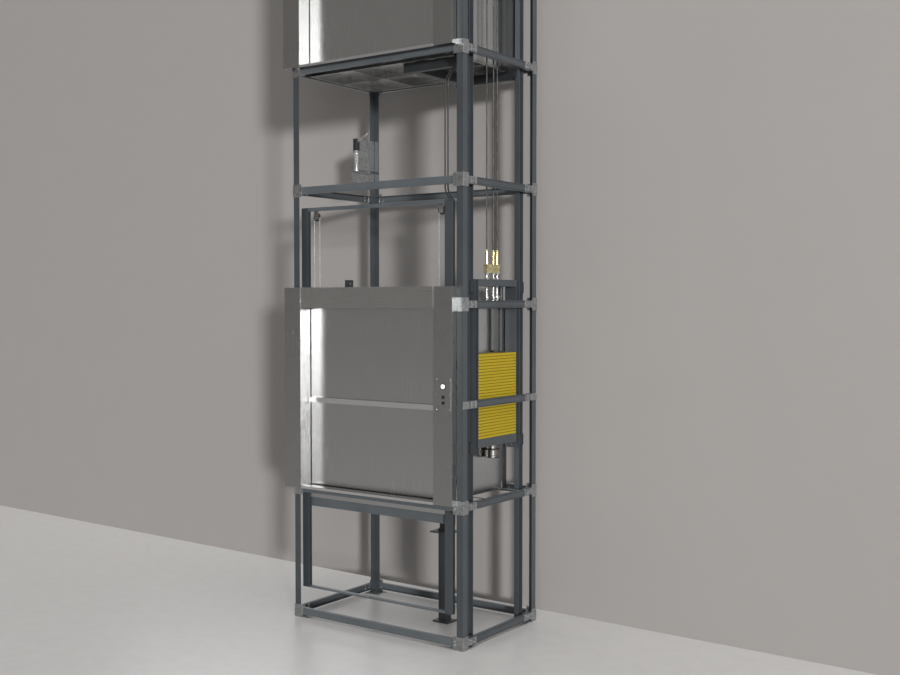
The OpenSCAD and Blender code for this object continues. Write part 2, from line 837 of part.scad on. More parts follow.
module call_plates() {
    color(stainless) for (rise = landings) translate([0, 0, rise]) {
        difference() {
            block([button_x - call_w / 2, button_x + call_w / 2],
                [open_y[0] - plate_t, open_y[0]],
                [station_z - call_h / 2, station_z + call_h / 2]);
            translate([button_x, open_y[0] - plate_t - 1, button_z]) rotate([-90, 0, 0])
                cylinder(h = plate_t + 2, r = button_r + 0.4);
        }
        // The box behind the jamb
        difference() {
            block([button_x - box_w / 2, button_x + box_w / 2], station_y,
                [station_z - box_h / 2, station_z + box_h / 2]);
            translate([button_x, station_y[0] - 1, button_z]) rotate([-90, 0, 0])
                cylinder(h = 21, r = button_r + 3);
        }
        // Two indicator lenses
        for (drop = [54, 83]) translate([button_x, open_y[0] - plate_t, button_z - drop])
            rotate([90, 0, 0]) cylinder(h = 1, r = 7);
    }
}

module call_button(rise) {
    color([0.95, 0.95, 0.92]) translate([button_x, open_y[0] - plate_t - button_proud,
        button_z + rise]) rotate([-90, 0, 0]) {
        cylinder(h = button_proud + plate_t + frame_t + 1, r = button_r);
        translate([0, 0, button_proud + plate_t + frame_t + 0.5]) cylinder(h = 3, r = button_r + 2);
    }
}

module lower_call_button() { call_button(0); }
module upper_call_button() { call_button(landing_rise); }

// --- Car, drawn at the upper landing ---

car_x = [from_left(car_left), from_right(car_right)];
car_y = [from_front(car_front), from_back(car_back)];
car_bottom_z = upper_sill_z - car_floor_h;
car_top_z = car_bottom_z + car_h;
inner_x = [car_x[0] + car_t, car_x[1] - car_t];
inner_y = [car_y[0], car_y[1] - car_t];

// Distances of the two inner ribs under the floor from the car's side walls
left_rib_in = 300;
right_rib_in = 339;

module car_floor() {
    color(stainless) {
        block(inner_x, inner_y, [upper_sill_z - car_t, upper_sill_z]);
        rim = [car_bottom_z, upper_sill_z - car_t];
        for (y = [inner_y[0], (inner_y[0] + inner_y[1]) / 2, inner_y[1] - car_t])
            block(inner_x, [y, y + car_t], rim);
        for (x = [inner_x[0], inner_x[0] + left_rib_in, inner_x[1] - right_rib_in,
            inner_x[1] - car_t])
            block([x, x + car_t], inner_y, rim);
    }
}

module car_walls() {
    z = [car_bottom_z, car_top_z];
    color(stainless) {
        block([car_x[0], inner_x[0]], car_y, z);
        block([inner_x[1], car_x[1]], car_y, z);
        block(inner_x, [inner_y[1], car_y[1]], z);
        // Front columns
        for (x = [[inner_x[0], inner_x[0] + car_column], [inner_x[1] - car_column, inner_x[1]]])
            block(x, [car_y[0], car_y[0] + car_t], [upper_sill_z, car_top_z]);
    }
}

module car_roof() {
    color(stainless) difference() {
        block(car_x, car_y, [car_top_z, car_top_z + car_roof_h]);
        block(inner_x, [car_y[0] + car_t, inner_y[1]], [car_top_z - 1, car_top_z + car_roof_h - car_t]);
    }
}

module car_shelf() {
    z = upper_sill_z + shelf_rise;
    color(bright_steel) difference() {
        block(inner_x, [inner_y[0] + 40, inner_y[1]], [z, z + 20]);
        block([inner_x[0] + 2, inner_x[1] - 2], [inner_y[0] + 42, inner_y[1] - 2], [z - 1, z + 18]);
    }
}

sling_w = 34;
sling_d = 36;
sling_t = 4;
sling_ys = [front_rail_y + rail_d / 2 - sling_w / 2, rear_rail_y + rail_d / 2 - sling_w / 2];
sling_z = [car_bottom_z - arm_h, car_top_z + car_roof_h + arm_h];
sling_x = [car_x[1] - arm_reach, car_x[1] + sling_d];
cw_rope_x = from_right(cw_rope_in);
sheave_x = cw_rope_x - sheave_r;
car_rope_x = sheave_x - sheave_r;
rope_offsets = [-rope_reach, rope_middle, rope_reach];
rope_ys = [for (d = rope_offsets) from_front(rail_mid) + d];
cross_arm_x = [car_rope_x - arm_h / 2, car_rope_x + arm_h / 2];

module car_sling() {
    color(black_steel) difference() {
        union() {
            for (y = sling_ys) {
                block([car_x[1], sling_x[1]], [y, y + sling_w], sling_z);
                for (z = [sling_z[0], sling_z[1] - arm_h])
                    block([sling_x[0], sling_x[1]], [y, y + sling_w], [z, z + arm_h]);
            }
            for (z = [sling_z[0], sling_z[1] - arm_h])
                block(cross_arm_x, [sling_ys[0], sling_ys[1]], [z, z + arm_h]);
        }
        // Hollow uprights that run into hollow arms, which are open at their ends
        for (y = sling_ys) {
            block([car_x[1] + sling_t, sling_x[1] - sling_t], [y + sling_t, y + sling_w - sling_t],
                [sling_z[0] + sling_t, sling_z[1] - sling_t]);
            for (z = [sling_z[0], sling_z[1] - arm_h])
                block([sling_x[0] - 1, sling_x[1] - sling_t], [y + sling_t, y + sling_w - sling_t],
                    [z + sling_t, z + arm_h - sling_t]);
        }
        block([cross_arm_x[0] + sling_t, cross_arm_x[1] - sling_t],
            [sling_ys[0] + sling_w + 20, sling_ys[1] - 20],
            [sling_z[1] - arm_h + sling_t, sling_z[1] - sling_t]);
        for (y = rope_ys) translate([car_rope_x, y, sling_z[1] - sling_t - 1])
            cylinder(h = sling_t + 2, r = 6.5);
    }
}

shoe_h = 90;
shoe_play = 0.7;
shoe_wall = 2.8;

// A car shoe grips the front rail from inside the shaft
module car_shoe() {
    outer_y = [front_rail_y - 7, front_rail_y + rail_d + shoe_play + shoe_wall];
    difference() {
        block([sling_x[1], rail_x[0] + 13], outer_y, [0, shoe_h]);
        block([rail_x[0] - shoe_play, rail_x[1]],
            [front_rail_y - shoe_play, front_rail_y + rail_d + shoe_play], [-1, shoe_h + 1]);
    }
}

module car_guide_shoes() {
    color(rubber_black) for (z = [sling_z[0] + 10, sling_z[1] - shoe_h - 10])
        translate([0, 0, z]) {
            car_shoe();
            translate([0, 2 * from_front(rail_mid), 0]) mirror([0, 1, 0]) car_shoe();
        }
}

rod_r = 6;
car_socket_z = sling_z[1] + 60;
socket_h = 77;

// A rope socket: a turned sleeve that narrows towards the rope
module rope_socket() {
    rotate_extrude() polygon([[0, 0], [9, 0], [9, socket_h - 14], [6, socket_h], [0, socket_h]]);
}

module car_rope_hitch() {
    color(brass_yellow) for (y = rope_ys) translate([car_rope_x, y, 0]) {
        translate([0, 0, sling_z[1] - 30]) cylinder(h = car_socket_z - sling_z[1] + 30, r = rod_r);
        translate([0, 0, sling_z[1] - sling_t - 12]) cylinder(h = 12, r = 12, $fn = 6);
        translate([0, 0, sling_z[1]]) cylinder(h = 12, r = 12, $fn = 6);
        translate([0, 0, car_socket_z]) rope_socket();
    }
}

// --- Counterweight, drawn at its lowest place ---

cw_x = [from_right(beam_d + cw_beam_gap) - cw_d, from_right(beam_d + cw_beam_gap)];
cw_y = [front_rail_y + rail_d + cw_gap, rear_rail_y - cw_gap];
cw_z = [cw_bottom_z, cw_bottom_z + cw_h];
crosshead_y = [cw_y[0] + stile_w, cw_y[1] - stile_w];
lower_crosshead_z = [cw_z[0] + 35, cw_z[0] + 80];
crosshead_z = [cw_z[1] - crosshead_h, cw_z[1]];
plates_top_z = lower_crosshead_z[1] + weight_count * weight_h;

module counterweight_frame() {
    color(steel_blue) {
        for (y = [cw_y[0], cw_y[1] - stile_w]) translate([cw_x[0], y, cw_z[0]])
            linear_extrude(cw_h) channel_section(cw_d, stile_w, stile_t);
        difference() {
            block(cw_x, crosshead_y, crosshead_z);
            block([cw_x[0] + stile_t, cw_x[1] - stile_t], [crosshead_y[0] - 1, crosshead_y[1] + 1],
                [crosshead_z[0] - 1, crosshead_z[1] - stile_t]);
            for (y = rope_ys) translate([cw_rope_x, y, crosshead_z[0]])
                cylinder(h = crosshead_h + 1, r = rod_r + 0.5);
        }
        difference() {
            block(cw_x, crosshead_y, lower_crosshead_z);
            block([cw_x[0] + stile_t, cw_x[1] - stile_t], [crosshead_y[0] - 1, crosshead_y[1] + 1],
                [lower_crosshead_z[0] + stile_t, lower_crosshead_z[1] - stile_t]);
        }
    }
}

module counterweight_plates() {
    color(weight_yellow) for (i = [0:weight_count - 1])
        block([cw_x[0] + 3, cw_x[1]], [crosshead_y[0] + 2, crosshead_y[1] - 2],
            [lower_crosshead_z[1] + i * weight_h, lower_crosshead_z[1] + (i + 1) * weight_h - 0.1]);
}

// A rod that presses the plates down from the upper crosshead, behind the ropes
clamp_r = 12.5;
clamp_behind = 88;
clamp_y = from_front(rail_mid + clamp_behind);

module counterweight_clamp() {
    color(black_steel) {
        translate([cw_rope_x, clamp_y, plates_top_z + 7])
            cylinder(h = crosshead_z[1] - stile_t - plates_top_z - 7, r = clamp_r);
        block([cw_rope_x - 20, cw_rope_x + 20], [clamp_y - 20, clamp_y + 20],
            [plates_top_z - 0.1, plates_top_z + 8]);
    }
}

cw_shoe_h = 60;

// A counterweight shoe slides inside the front rail
module counterweight_shoe() {
    block([rail_x[0] + rail_t + 2, cw_x[1]], [front_rail_y + rail_t + 1, front_rail_y + rail_d - rail_t - 1],
        [0, cw_shoe_h]);
    block([rail_x[1] + 1, cw_x[1]], [front_rail_y + rail_d - rail_t - 1, cw_y[0]], [0, cw_shoe_h]);
}

module counterweight_shoes() {
    color(rubber_black) for (z = [cw_z[0] + 10, cw_z[1] - cw_shoe_h - 10]) translate([0, 0, z]) {
        counterweight_shoe();
        translate([0, 2 * from_front(rail_mid), 0]) mirror([0, 1, 0]) counterweight_shoe();
    }
}

cw_socket_z = cw_z[1] + 81;
hitch_block_z = [cw_socket_z - 46, cw_socket_z];
rod_bottom_z = cw_z[1] - 110;
rod_nut_h = 10;
spring_z = [rod_bottom_z + 5 + rod_nut_h + 3, crosshead_z[1] - stile_t - 3];

module counterweight_rope_rods() {
    color(bright_steel) for (y = rope_ys) translate([cw_rope_x, y, 0]) {
        translate([0, 0, rod_bottom_z]) cylinder(h = hitch_block_z[0] - rod_bottom_z, r = rod_r);
        for (z = [rod_bottom_z + 5, cw_z[1], hitch_block_z[0] - rod_nut_h])
            translate([0, 0, z]) cylinder(h = rod_nut_h, r = 12, $fn = 6);
        for (z = [spring_z[0] - 3, spring_z[1]]) translate([0, 0, z]) cylinder(h = 3, r = 17);
    }
}

// A closed tube of a round section swept along points in order.  No stretch of
// the path may run along ref, which keeps the section from twisting.
module swept_tube(path, radius, sides, ref) {
    last = len(path) - 1;
    function unit(v) = v / norm(v);
    function along(i) = unit(path[min(i + 1, last)] - path[max(i - 1, 0)]);
    function across(i) = unit(cross(along(i), ref));
    rings = [for (i = [0:last], k = [0:sides - 1])
        let (u = across(i), v = cross(along(i), u), t = 360 * k / sides)
            path[i] + radius * (cos(t) * u + sin(t) * v)];
    walls = [for (i = [0:last - 1], k = [0:sides - 1])
        let (a = i * sides + k, b = i * sides + (k + 1) % sides)
            each [[a, b, b + sides], [a, b + sides, a + sides]]];
    start = [for (k = [1:sides - 2]) [0, k + 1, k]];
    end = [for (k = [1:sides - 2]) [last * sides, last * sides + k, last * sides + k + 1]];
    polyhedron(points = rings, faces = concat(walls, start, end), convexity = 10);
}

spring_turns = 5;
spring_wire = 4;
spring_r = 11.5;
spring_steps = 8;

module counterweight_springs() {
    low = spring_z[0] + spring_wire / 2;
    high = spring_z[1] - spring_wire / 2;
    steps = spring_turns * spring_steps;
    color(bright_steel) for (y = rope_ys) translate([cw_rope_x, y, 0])
        swept_tube([for (i = [0:steps]) let (t = 360 * i / spring_steps)
            [spring_r * cos(t), spring_r * sin(t), low + (high - low) * i / steps]],
            spring_wire / 2 - 0.15, 6, [0, 0, 1]);
}

module counterweight_rope_sockets() {
    color(brass_yellow) {
        for (y = rope_ys) translate([cw_rope_x, y, cw_socket_z]) rope_socket();
        // The block that joins the sockets to the rods
        block([cw_rope_x - 12, cw_rope_x + 12], [rope_ys[0] - 11, rope_ys[2] + 11], hitch_block_z);
    }
}

module counterweight_buffer() {
    color(bright_steel) translate([(cw_x[0] + cw_x[1]) / 2, from_front(rail_mid),
        lower_crosshead_z[0]]) rotate([180, 0, 0]) rotate_extrude()
        polygon([[0, 0], [cw_buffer_r - 8, 0], [cw_buffer_r - 8, 20], [cw_buffer_r - 4, 24],
            [cw_buffer_r, 26], [cw_buffer_r, 66], [cw_buffer_r - 4, 70], [0, 70]]);
}

// --- Drive ---

machine_z = [machine_ring_z + beam_h / 2, machine_ring_z + beam_h / 2 + machine_beam_h];
sheave_z = machine_z[1] + sheave_rise;
rope_mid_y = from_front(rail_mid);
front_beam_y = rope_mid_y - sheave_w / 2 - 18 - machine_beam_w;
rear_beam_y = rope_mid_y + sheave_w / 2 + 32;
far_beam_y = rear_beam_y + 128;
bearing_half = 42;

module machine_beams() {
    color(steel_blue) for (y = [front_beam_y, rear_beam_y, far_beam_y])
        translate([left_x + 3, y, machine_z[0]])
            channel_x(tower_w - 6, machine_beam_w, machine_beam_h, 4);
    // Outboard bearing
    color(drive_grey) difference() {
        block([sheave_x - bearing_half, sheave_x + bearing_half],
            [front_beam_y + 4, front_beam_y + machine_beam_w],
            [machine_z[1], sheave_z + bearing_half]);
        translate([sheave_x, front_beam_y, sheave_z]) rotate([-90, 0, 0])
            cylinder(h = machine_beam_w + 1, r = shaft_r + 0.05);
    }
}

gearbox_w = 190;
gearbox_y = [rear_beam_y + 6, far_beam_y + machine_beam_w - 20];
gearbox_top_z = sheave_z + 70;
worm_drop = 62;
motor_z = sheave_z - worm_drop;
motor_y = (gearbox_y[0] + gearbox_y[1]) / 2;

module gear_motor() {
    end_x = sheave_x - gearbox_w / 2;
    color(drive_grey) {
        difference() {
            union() {
                block([end_x - 30, sheave_x + gearbox_w / 2 + 20],
                    [rear_beam_y, far_beam_y + machine_beam_w], [machine_z[1], machine_z[1] + 10]);
                block([end_x, sheave_x + gearbox_w / 2], gearbox_y,
                    [machine_z[1] + 10, gearbox_top_z]);
                translate([sheave_x, gearbox_y[0], sheave_z]) rotate([90, 0, 0])
                    cylinder(h = 8, r = 52);
            }
            translate([sheave_x, gearbox_y[0] - 9, sheave_z]) rotate([-90, 0, 0])
                cylinder(h = 59, r = shaft_r + 0.05);
        }
        // Motor, fan cowl and brake, in line with the worm
        translate([end_x, motor_y, motor_z]) rotate([0, -90, 0]) {
            cylinder(h = 12, r = motor_r + 6);
            translate([0, 0, 12]) cylinder(h = motor_l, r = motor_r);
            translate([0, 0, 12 + motor_l]) cylinder(h = 46, r = motor_r - 10);
        }
        block([end_x - 190, end_x - 90], [motor_y - 45, motor_y + 45],
            [motor_z + motor_r - 6, motor_z + motor_r + 40]);
    }
}

shaft_y = [front_beam_y + 4, gearbox_y[0] + 40];

module traction_sheave() {
    color(drive_grey) translate([sheave_x, 0, sheave_z]) rotate([-90, 0, 0]) {
        translate([0, 0, shaft_y[0]]) cylinder(h = shaft_y[1] - shaft_y[0], r = shaft_r);
        translate([0, 0, rope_mid_y]) difference() {
            union() {
                // The rim and its web
                difference() {
                    translate([0, 0, -sheave_w / 2])
                        cylinder(h = sheave_w, r = sheave_r + 6, $fn = 96);
                    for (z = [-sheave_w, 8]) translate([0, 0, z])
                        cylinder(h = sheave_w - 8, r = sheave_r - 16, $fn = 96);
                }
                // The hub
                translate([0, 0, -sheave_w / 2]) cylinder(h = sheave_w, r = shaft_r + 18);
            }
            for (d = rope_offsets) rotate_extrude($fn = 96) translate([sheave_r, d]) {
                circle(r = rope_d / 2 + 0.4, $fn = 24);
                translate([0, -rope_d / 2 - 0.4]) square([10, rope_d + 0.8]);
            }
            for (k = [0:5]) rotate([0, 0, 60 * k]) translate([(sheave_r + shaft_r) / 2, 0, -20])
                cylinder(h = 40, r = 26);
        }
    }
}

module main_ropes(x, low) {
    color(black_steel) for (y = rope_ys) translate([x, y, low])
        cylinder(h = sheave_z - low, d = rope_d, $fn = 24);
}

module car_ropes() {
    main_ropes(car_rope_x, car_socket_z + socket_h);
}

module counterweight_ropes() {
    main_ropes(cw_rope_x, cw_socket_z + socket_h);
}

module rope_bend(radius, diameter) {
    rotate([90, 0, 0]) rotate_extrude(angle = 180) translate([radius, 0])
        circle(d = diameter, $fn = 24);
}

module rope_bends() {
    color(black_steel) {
        for (y = rope_ys) translate([sheave_x, y, sheave_z]) rope_bend(sheave_r, rope_d);
        for (x = pulley_xs) translate([x, door_rope_y, pulley_z])
            rope_bend(door_pulley_r, door_rope_d);
    }
}

// --- Control cabinet ---

cabinet_x = [from_left(62), from_left(62 + cabinet_w)];
cabinet_y = [front_beam_y - cabinet_d, front_beam_y];
cabinet_z = [machine_z[0] + 15, machine_z[0] + 15 + cabinet_h];
door_d = 20;
hinge_pin_r = 3;
hinge_x = cabinet_x[0] - 7;
hinge_y = cabinet_y[0] - 2 - door_d / 2;
hinge_zs = [cabinet_z[0] + 60, cabinet_z[1] - 90];
knuckle_h = 30;
knuckle_r = 6;
gland_r = 8;
gland_h = 14;
gland_pitch = 18;
gland_x = cabinet_x[1] - 60;
gland_y = (cabinet_y[0] + cabinet_y[1]) / 2;

module control_cabinet() {
    color([0.75, 0.76, 0.76]) {
        difference() {
            block(cabinet_x, cabinet_y, cabinet_z);
            block([cabinet_x[0] + cabinet_t, cabinet_x[1] - cabinet_t],
                [cabinet_y[0] - 1, cabinet_y[1] - cabinet_t],
                [cabinet_z[0] + cabinet_t, cabinet_z[1] - cabinet_t]);
        }
        // Glands for the landing cables
        for (k = [0, 1]) translate([gland_x + k * gland_pitch, gland_y, cabinet_z[0] - gland_h])
            cylinder(h = gland_h, r = gland_r);
        // Hinge plates, round at the pin so that the door's edge swings past them
        for (z = hinge_zs) {
            translate([hinge_x, hinge_y, z - 5]) cylinder(h = 4.5, r = knuckle_r);
            block([hinge_x - knuckle_r, hinge_x + knuckle_r], [hinge_y, hinge_y + 30], [z - 5, z - 0.5]);
            block([hinge_x - knuckle_r, cabinet_x[0]], [cabinet_y[0], hinge_y + 30], [z - 5, z + 20]);
            translate([hinge_x, hinge_y, z - 1]) cylinder(h = knuckle_h, r = hinge_pin_r);
        }
    }
}

module cabinet_door() {
    color([0.75, 0.76, 0.76]) {
        difference() {
            block(cabinet_x, [hinge_y - door_d / 2, hinge_y + door_d / 2],
                [cabinet_z[0] + 4, cabinet_z[1] - 4]);
            block([cabinet_x[0] + 2, cabinet_x[1] - 2], [hinge_y - door_d / 2 + 2, hinge_y + door_d],
                [cabinet_z[0] + 6, cabinet_z[1] - 6]);
        }
        for (z = hinge_zs) difference() {
            union() {
                translate([hinge_x, hinge_y, z]) cylinder(h = knuckle_h, r = knuckle_r);
                block([hinge_x, cabinet_x[0]], [hinge_y - 5, hinge_y + 1], [z, z + knuckle_h]);
            }
            translate([hinge_x, hinge_y, z - 1]) cylinder(h = knuckle_h + 2, r = hinge_pin_r + 0.05);
        }
    }
}

// --- Limit switch ---

switch_z = guide_ring_z + switch_rise;
switch_in = 189;
switch_y = from_back(switch_in);
switch_x = [from_left(post_t), from_left(post_t + 4)];
lever_x = from_left(30);
lever_z = switch_z + 163;

module limit_switch() {
    rear = from_front(tower_d - 6);
    color(zinc) {
        // The plate, and the bracket under it
        block(switch_x, [switch_y - 7, rear], [switch_z, switch_z + 180]);
        block(switch_x, [switch_y - 29, rear], [switch_z - 76, switch_z - 16]);
        block([switch_x[1], switch_x[1] + 16], [switch_y - 29, rear - post_leg],
            [switch_z - 20, switch_z - 16]);
    }
    color(black_steel) {
        // The barrel, its back and the head with the lever's pin
        translate([switch_x[1] + 12, switch_y, switch_z - 14]) cylinder(h = 119, r = 12);
        block([switch_x[1], switch_x[1] + 12], [switch_y - 7, switch_y + 7],
            [switch_z, switch_z + 105]);
        block([switch_x[1], lever_x + 2], [switch_y - 16, switch_y + 16],
            [switch_z + 105, switch_z + 175]);
        translate([lever_x + 2, switch_y, lever_z]) rotate([0, 90, 0]) cylinder(h = 8, r = 4);
    }
}

lever_l = 105;
lever_lean = 60;

module limit_lever() {
    color(bright_steel) translate([lever_x + 4, switch_y, lever_z])
        rotate([-lever_lean, 0, 0]) difference() {
            union() {
                block([0, 3], [-7, 7], [-8, lever_l]);
                translate([3, 0, lever_l - 6]) rotate([0, 90, 0]) cylinder(h = 5, r = 9);
            }
            translate([-1, 0, 0]) rotate([0, 90, 0]) cylinder(h = 6, r = 4.05);
        }
}

// --- Landing cables: from the control cabinet to the lower call station ---

cable_r = 4;
cable_y = from_front(76);
cable_pitch = 12;
// Radius of the tightest bends, a little over four diameters of the cable
cable_bend = 34;

// A gentle double bend that moves evenly along one axis and eases along the others
function s_bend(a, b, axis) = [for (t = [0:0.125:1])
    [for (i = [0:2]) a[i] + (b[i] - a[i]) * (i == axis ? t : (1 - cos(180 * t)) / 2)]];

// A quarter bend about a centre, in the plane of u and the Z axis
function quarter_bend(centre, radius, u, angles) = [for (t = angles)
    centre + radius * (cos(t) * u + sin(t) * [0, 0, 1])];

// The route of cable k: out of the cabinet, across, down past both doors and
// forward into the box behind the jamb
function cable_route(k) =
    let (
        start_x = gland_x + k * gland_pitch,
        run_z = cabinet_z[0] - 64 + k * cable_pitch,
        high_x = guide_right + guide_w + 10 + k * cable_pitch,
        turn_r = cable_bend + k * cable_pitch,
        mid_x = open_x[1] - 6 + k * 18,
        low_x = guide_right + 16 + k * 16,
        end_x = guide_right + guide_w + 12 + k * 16,
        end_z = station_z + 60)
    concat(
        [[start_x, gland_y, cabinet_z[0] - gland_h]],
        quarter_bend([start_x + cable_bend, gland_y, run_z + cable_bend], cable_bend, [1, 0, 0],
            [180:22.5:270]),
        s_bend([gland_x + 160, gland_y, run_z], [high_x - 70, cable_y, run_z], 0),
        quarter_bend([high_x - turn_r, cable_y, run_z - turn_r], turn_r, [1, 0, 0],
            [90:-22.5:0]),
        // The first of these starts under the upper door's guides
        s_bend([high_x, cable_y, upper_guide_z[0] - 8], [mid_x, cable_y - 2, upper_guide_z[0] - 148], 2),
        s_bend([mid_x, cable_y - 2, guide_z[1] + 67], [low_x, cable_y - 2, guide_z[1] - 23], 2),
        s_bend([low_x, cable_y - 2, end_z + 142], [end_x, cable_y, end_z + 42], 2),
        quarter_bend([end_x, cable_y - cable_bend, end_z], cable_bend, [0, 1, 0], [0:-22.5:-90]),
        [[end_x, station_y[1], end_z - cable_bend]]);

module landing_cables() {
    color(rubber_black) for (k = [0, 1]) swept_tube(cable_route(k), cable_r, 8, [1, 1, 0]);
}

corner_posts();
cross_beams();
side_beams();
corner_brackets();
bracket_bolts();
foot_plates();
guide_rails();
rail_clips();
counterweight_screen();
buffer_stand();
buffer_pad();
door_jambs();
door_lintels();
door_sills();
door_guide_posts();
door_guide_ties();
lower_door_top_panel();
lower_door_bottom_panel();
upper_door_fast_panel();
upper_door_slow_panel();
lower_door_handle();
upper_door_handle();
left_door_pulley();
right_door_pulley();
left_balance_reel();
right_balance_reel();
door_pulley_brackets();
door_lift_ropes();
door_drop_ropes();
door_balance_tapes();
door_locks();
call_plates();
lower_call_button();
upper_call_button();
car_floor();
car_walls();
car_roof();
car_shelf();
car_sling();
car_guide_shoes();
car_rope_hitch();
car_ropes();
counterweight_frame();
counterweight_plates();
counterweight_clamp();
counterweight_shoes();
counterweight_rope_rods();
counterweight_springs();
counterweight_rope_sockets();
counterweight_buffer();
counterweight_ropes();
rope_bends();
machine_beams();
gear_motor();
traction_sheave();
control_cabinet();
cabinet_door();
limit_switch();
limit_lever();
landing_cables();
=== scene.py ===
import math

import bmesh
import bpy
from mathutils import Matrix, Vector


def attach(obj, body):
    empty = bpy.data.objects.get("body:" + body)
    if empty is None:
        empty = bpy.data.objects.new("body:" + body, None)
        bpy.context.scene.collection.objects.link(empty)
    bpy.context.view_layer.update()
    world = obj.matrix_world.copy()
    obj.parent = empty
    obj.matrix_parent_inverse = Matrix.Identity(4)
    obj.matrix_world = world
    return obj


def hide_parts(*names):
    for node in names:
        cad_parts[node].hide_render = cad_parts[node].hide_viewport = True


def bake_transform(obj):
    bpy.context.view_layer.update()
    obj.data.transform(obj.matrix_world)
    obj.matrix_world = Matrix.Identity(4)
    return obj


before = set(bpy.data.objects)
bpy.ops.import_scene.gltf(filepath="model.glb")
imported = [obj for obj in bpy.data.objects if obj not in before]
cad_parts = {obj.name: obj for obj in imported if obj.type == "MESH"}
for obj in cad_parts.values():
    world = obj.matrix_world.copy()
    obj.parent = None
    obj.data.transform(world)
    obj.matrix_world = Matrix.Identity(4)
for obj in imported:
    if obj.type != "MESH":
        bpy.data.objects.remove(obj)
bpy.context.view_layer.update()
print("frame loaded with", len(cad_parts), "nodes")

# the middle of the whole lift, in millimetres from the tower's left and front faces
liftMiddle = {"x": 561, "y": 334.5}


def spot(x, y, z):
    # millimetres from the tower's left face, front face and floor, to metres in the lift's frame
    return Vector(((x - liftMiddle["x"]) / 1000, (y - liftMiddle["y"]) / 1000, z / 1000))


def linearColour(hexCode):
    parts = [int(hexCode[i:i + 2], 16) / 255 for i in (1, 3, 5)]
    return [p / 12.92 if p <= 0.04045 else ((p + 0.055) / 1.055) ** 2.4 for p in parts] + [1]


def grey(value):
    return [value, value, value, 1]


def addNode(tree, kind, settings=None, links=None):
    # settings go to the sockets or properties of that name, "stops" to a colour ramp
    node = tree.nodes.new(kind)
    for key, value in (settings or {}).items():
        if key == "stops":
            ramp = node.color_ramp
            while len(ramp.elements) < len(value):
                ramp.elements.new(0.5)
            for element, (place, colour) in zip(ramp.elements, value):
                element.position = place
                element.color = colour
        elif isinstance(key, int) or key in node.inputs:
            node.inputs[key].default_value = value
        else:
            setattr(node, key, value)
    for key, source in (links or {}).items():
        tree.links.new(source, node.inputs[key])
    return node


def startMaterial(name, shader):
    material = bpy.data.materials.new(name)
    material.use_nodes = True
    tree = material.node_tree
    tree.nodes.clear()
    surface = addNode(tree, "ShaderNodeBsdfPrincipled", shader)
    out = addNode(tree, "ShaderNodeOutputMaterial")
    tree.links.new(surface.outputs["BSDF"], out.inputs["Surface"])
    place = addNode(tree, "ShaderNodeTexCoord").outputs["Object"]
    return material, tree, surface, place


def joinSkin(tree, surface, tint, sheen, bump=None):
    tree.links.new(tint.outputs["Color"], surface.inputs["Base Color"])
    tree.links.new(sheen.outputs["Result"], surface.inputs["Roughness"])
    if bump is not None:
        tree.links.new(bump.outputs["Normal"], surface.inputs["Normal"])


def powderCoatedSteel(name, look):
    # epoxy powder baked on rolled steel: an even satin skin with a fine orange peel
    material, tree, surface, place = startMaterial(name, {"Metallic": 0})
    patches = addNode(tree, "ShaderNodeTexNoise",
                      {"Scale": 1000 / look["patchMm"], "Detail": 3}, {"Vector": place})
    peel = addNode(tree, "ShaderNodeTexNoise",
                   {"Scale": 1000 / look["peelMm"], "Detail": 2}, {"Vector": place})
    tint = addNode(tree, "ShaderNodeValToRGB",
                   {"stops": [(0.3, linearColour(look["shade"])),
                              (0.7, linearColour(look["colour"]))]},
                   {"Fac": patches.outputs["Fac"]})
    sheen = addNode(tree, "ShaderNodeMapRange",
                    {"To Min": look["rough"] - 0.05, "To Max": look["rough"] + 0.07},
                    {"Value": peel.outputs["Fac"]})
    bump = addNode(tree, "ShaderNodeBump", {"Strength": look["bump"], "Distance": 0.0004},
                   {"Height": peel.outputs["Fac"]})
    joinSkin(tree, surface, tint, sheen, bump)
    return material


def galvanisedSheet(name, look):
    # hot-dip zinc on sheet steel: crystals of zinc, each a little lighter or darker than the next
    material, tree, surface, place = startMaterial(name, {"Metallic": 1})
    crystals = addNode(tree, "ShaderNodeTexVoronoi", {"Scale": 1000 / look["crystalMm"]},
                       {"Vector": place})
    clouds = addNode(tree, "ShaderNodeTexNoise", {"Scale": 1000 / look["cloudMm"], "Detail": 4},
                     {"Vector": place})
    mixed = addNode(tree, "ShaderNodeMixRGB", {"Fac": 0.4},
                    {"Color1": crystals.outputs["Color"], "Color2": clouds.outputs["Fac"]})
    tint = addNode(tree, "ShaderNodeValToRGB",
                   {"stops": [(0.25, linearColour(look["shade"])),
                              (0.75, linearColour(look["colour"]))]},
                   {"Fac": mixed.outputs["Color"]})
    sheen = addNode(tree, "ShaderNodeMapRange",
                    {"To Min": look["rough"] - 0.08, "To Max": look["rough"] + 0.1},
                    {"Value": mixed.outputs["Color"]})
    joinSkin(tree, surface, tint, sheen)
    return material


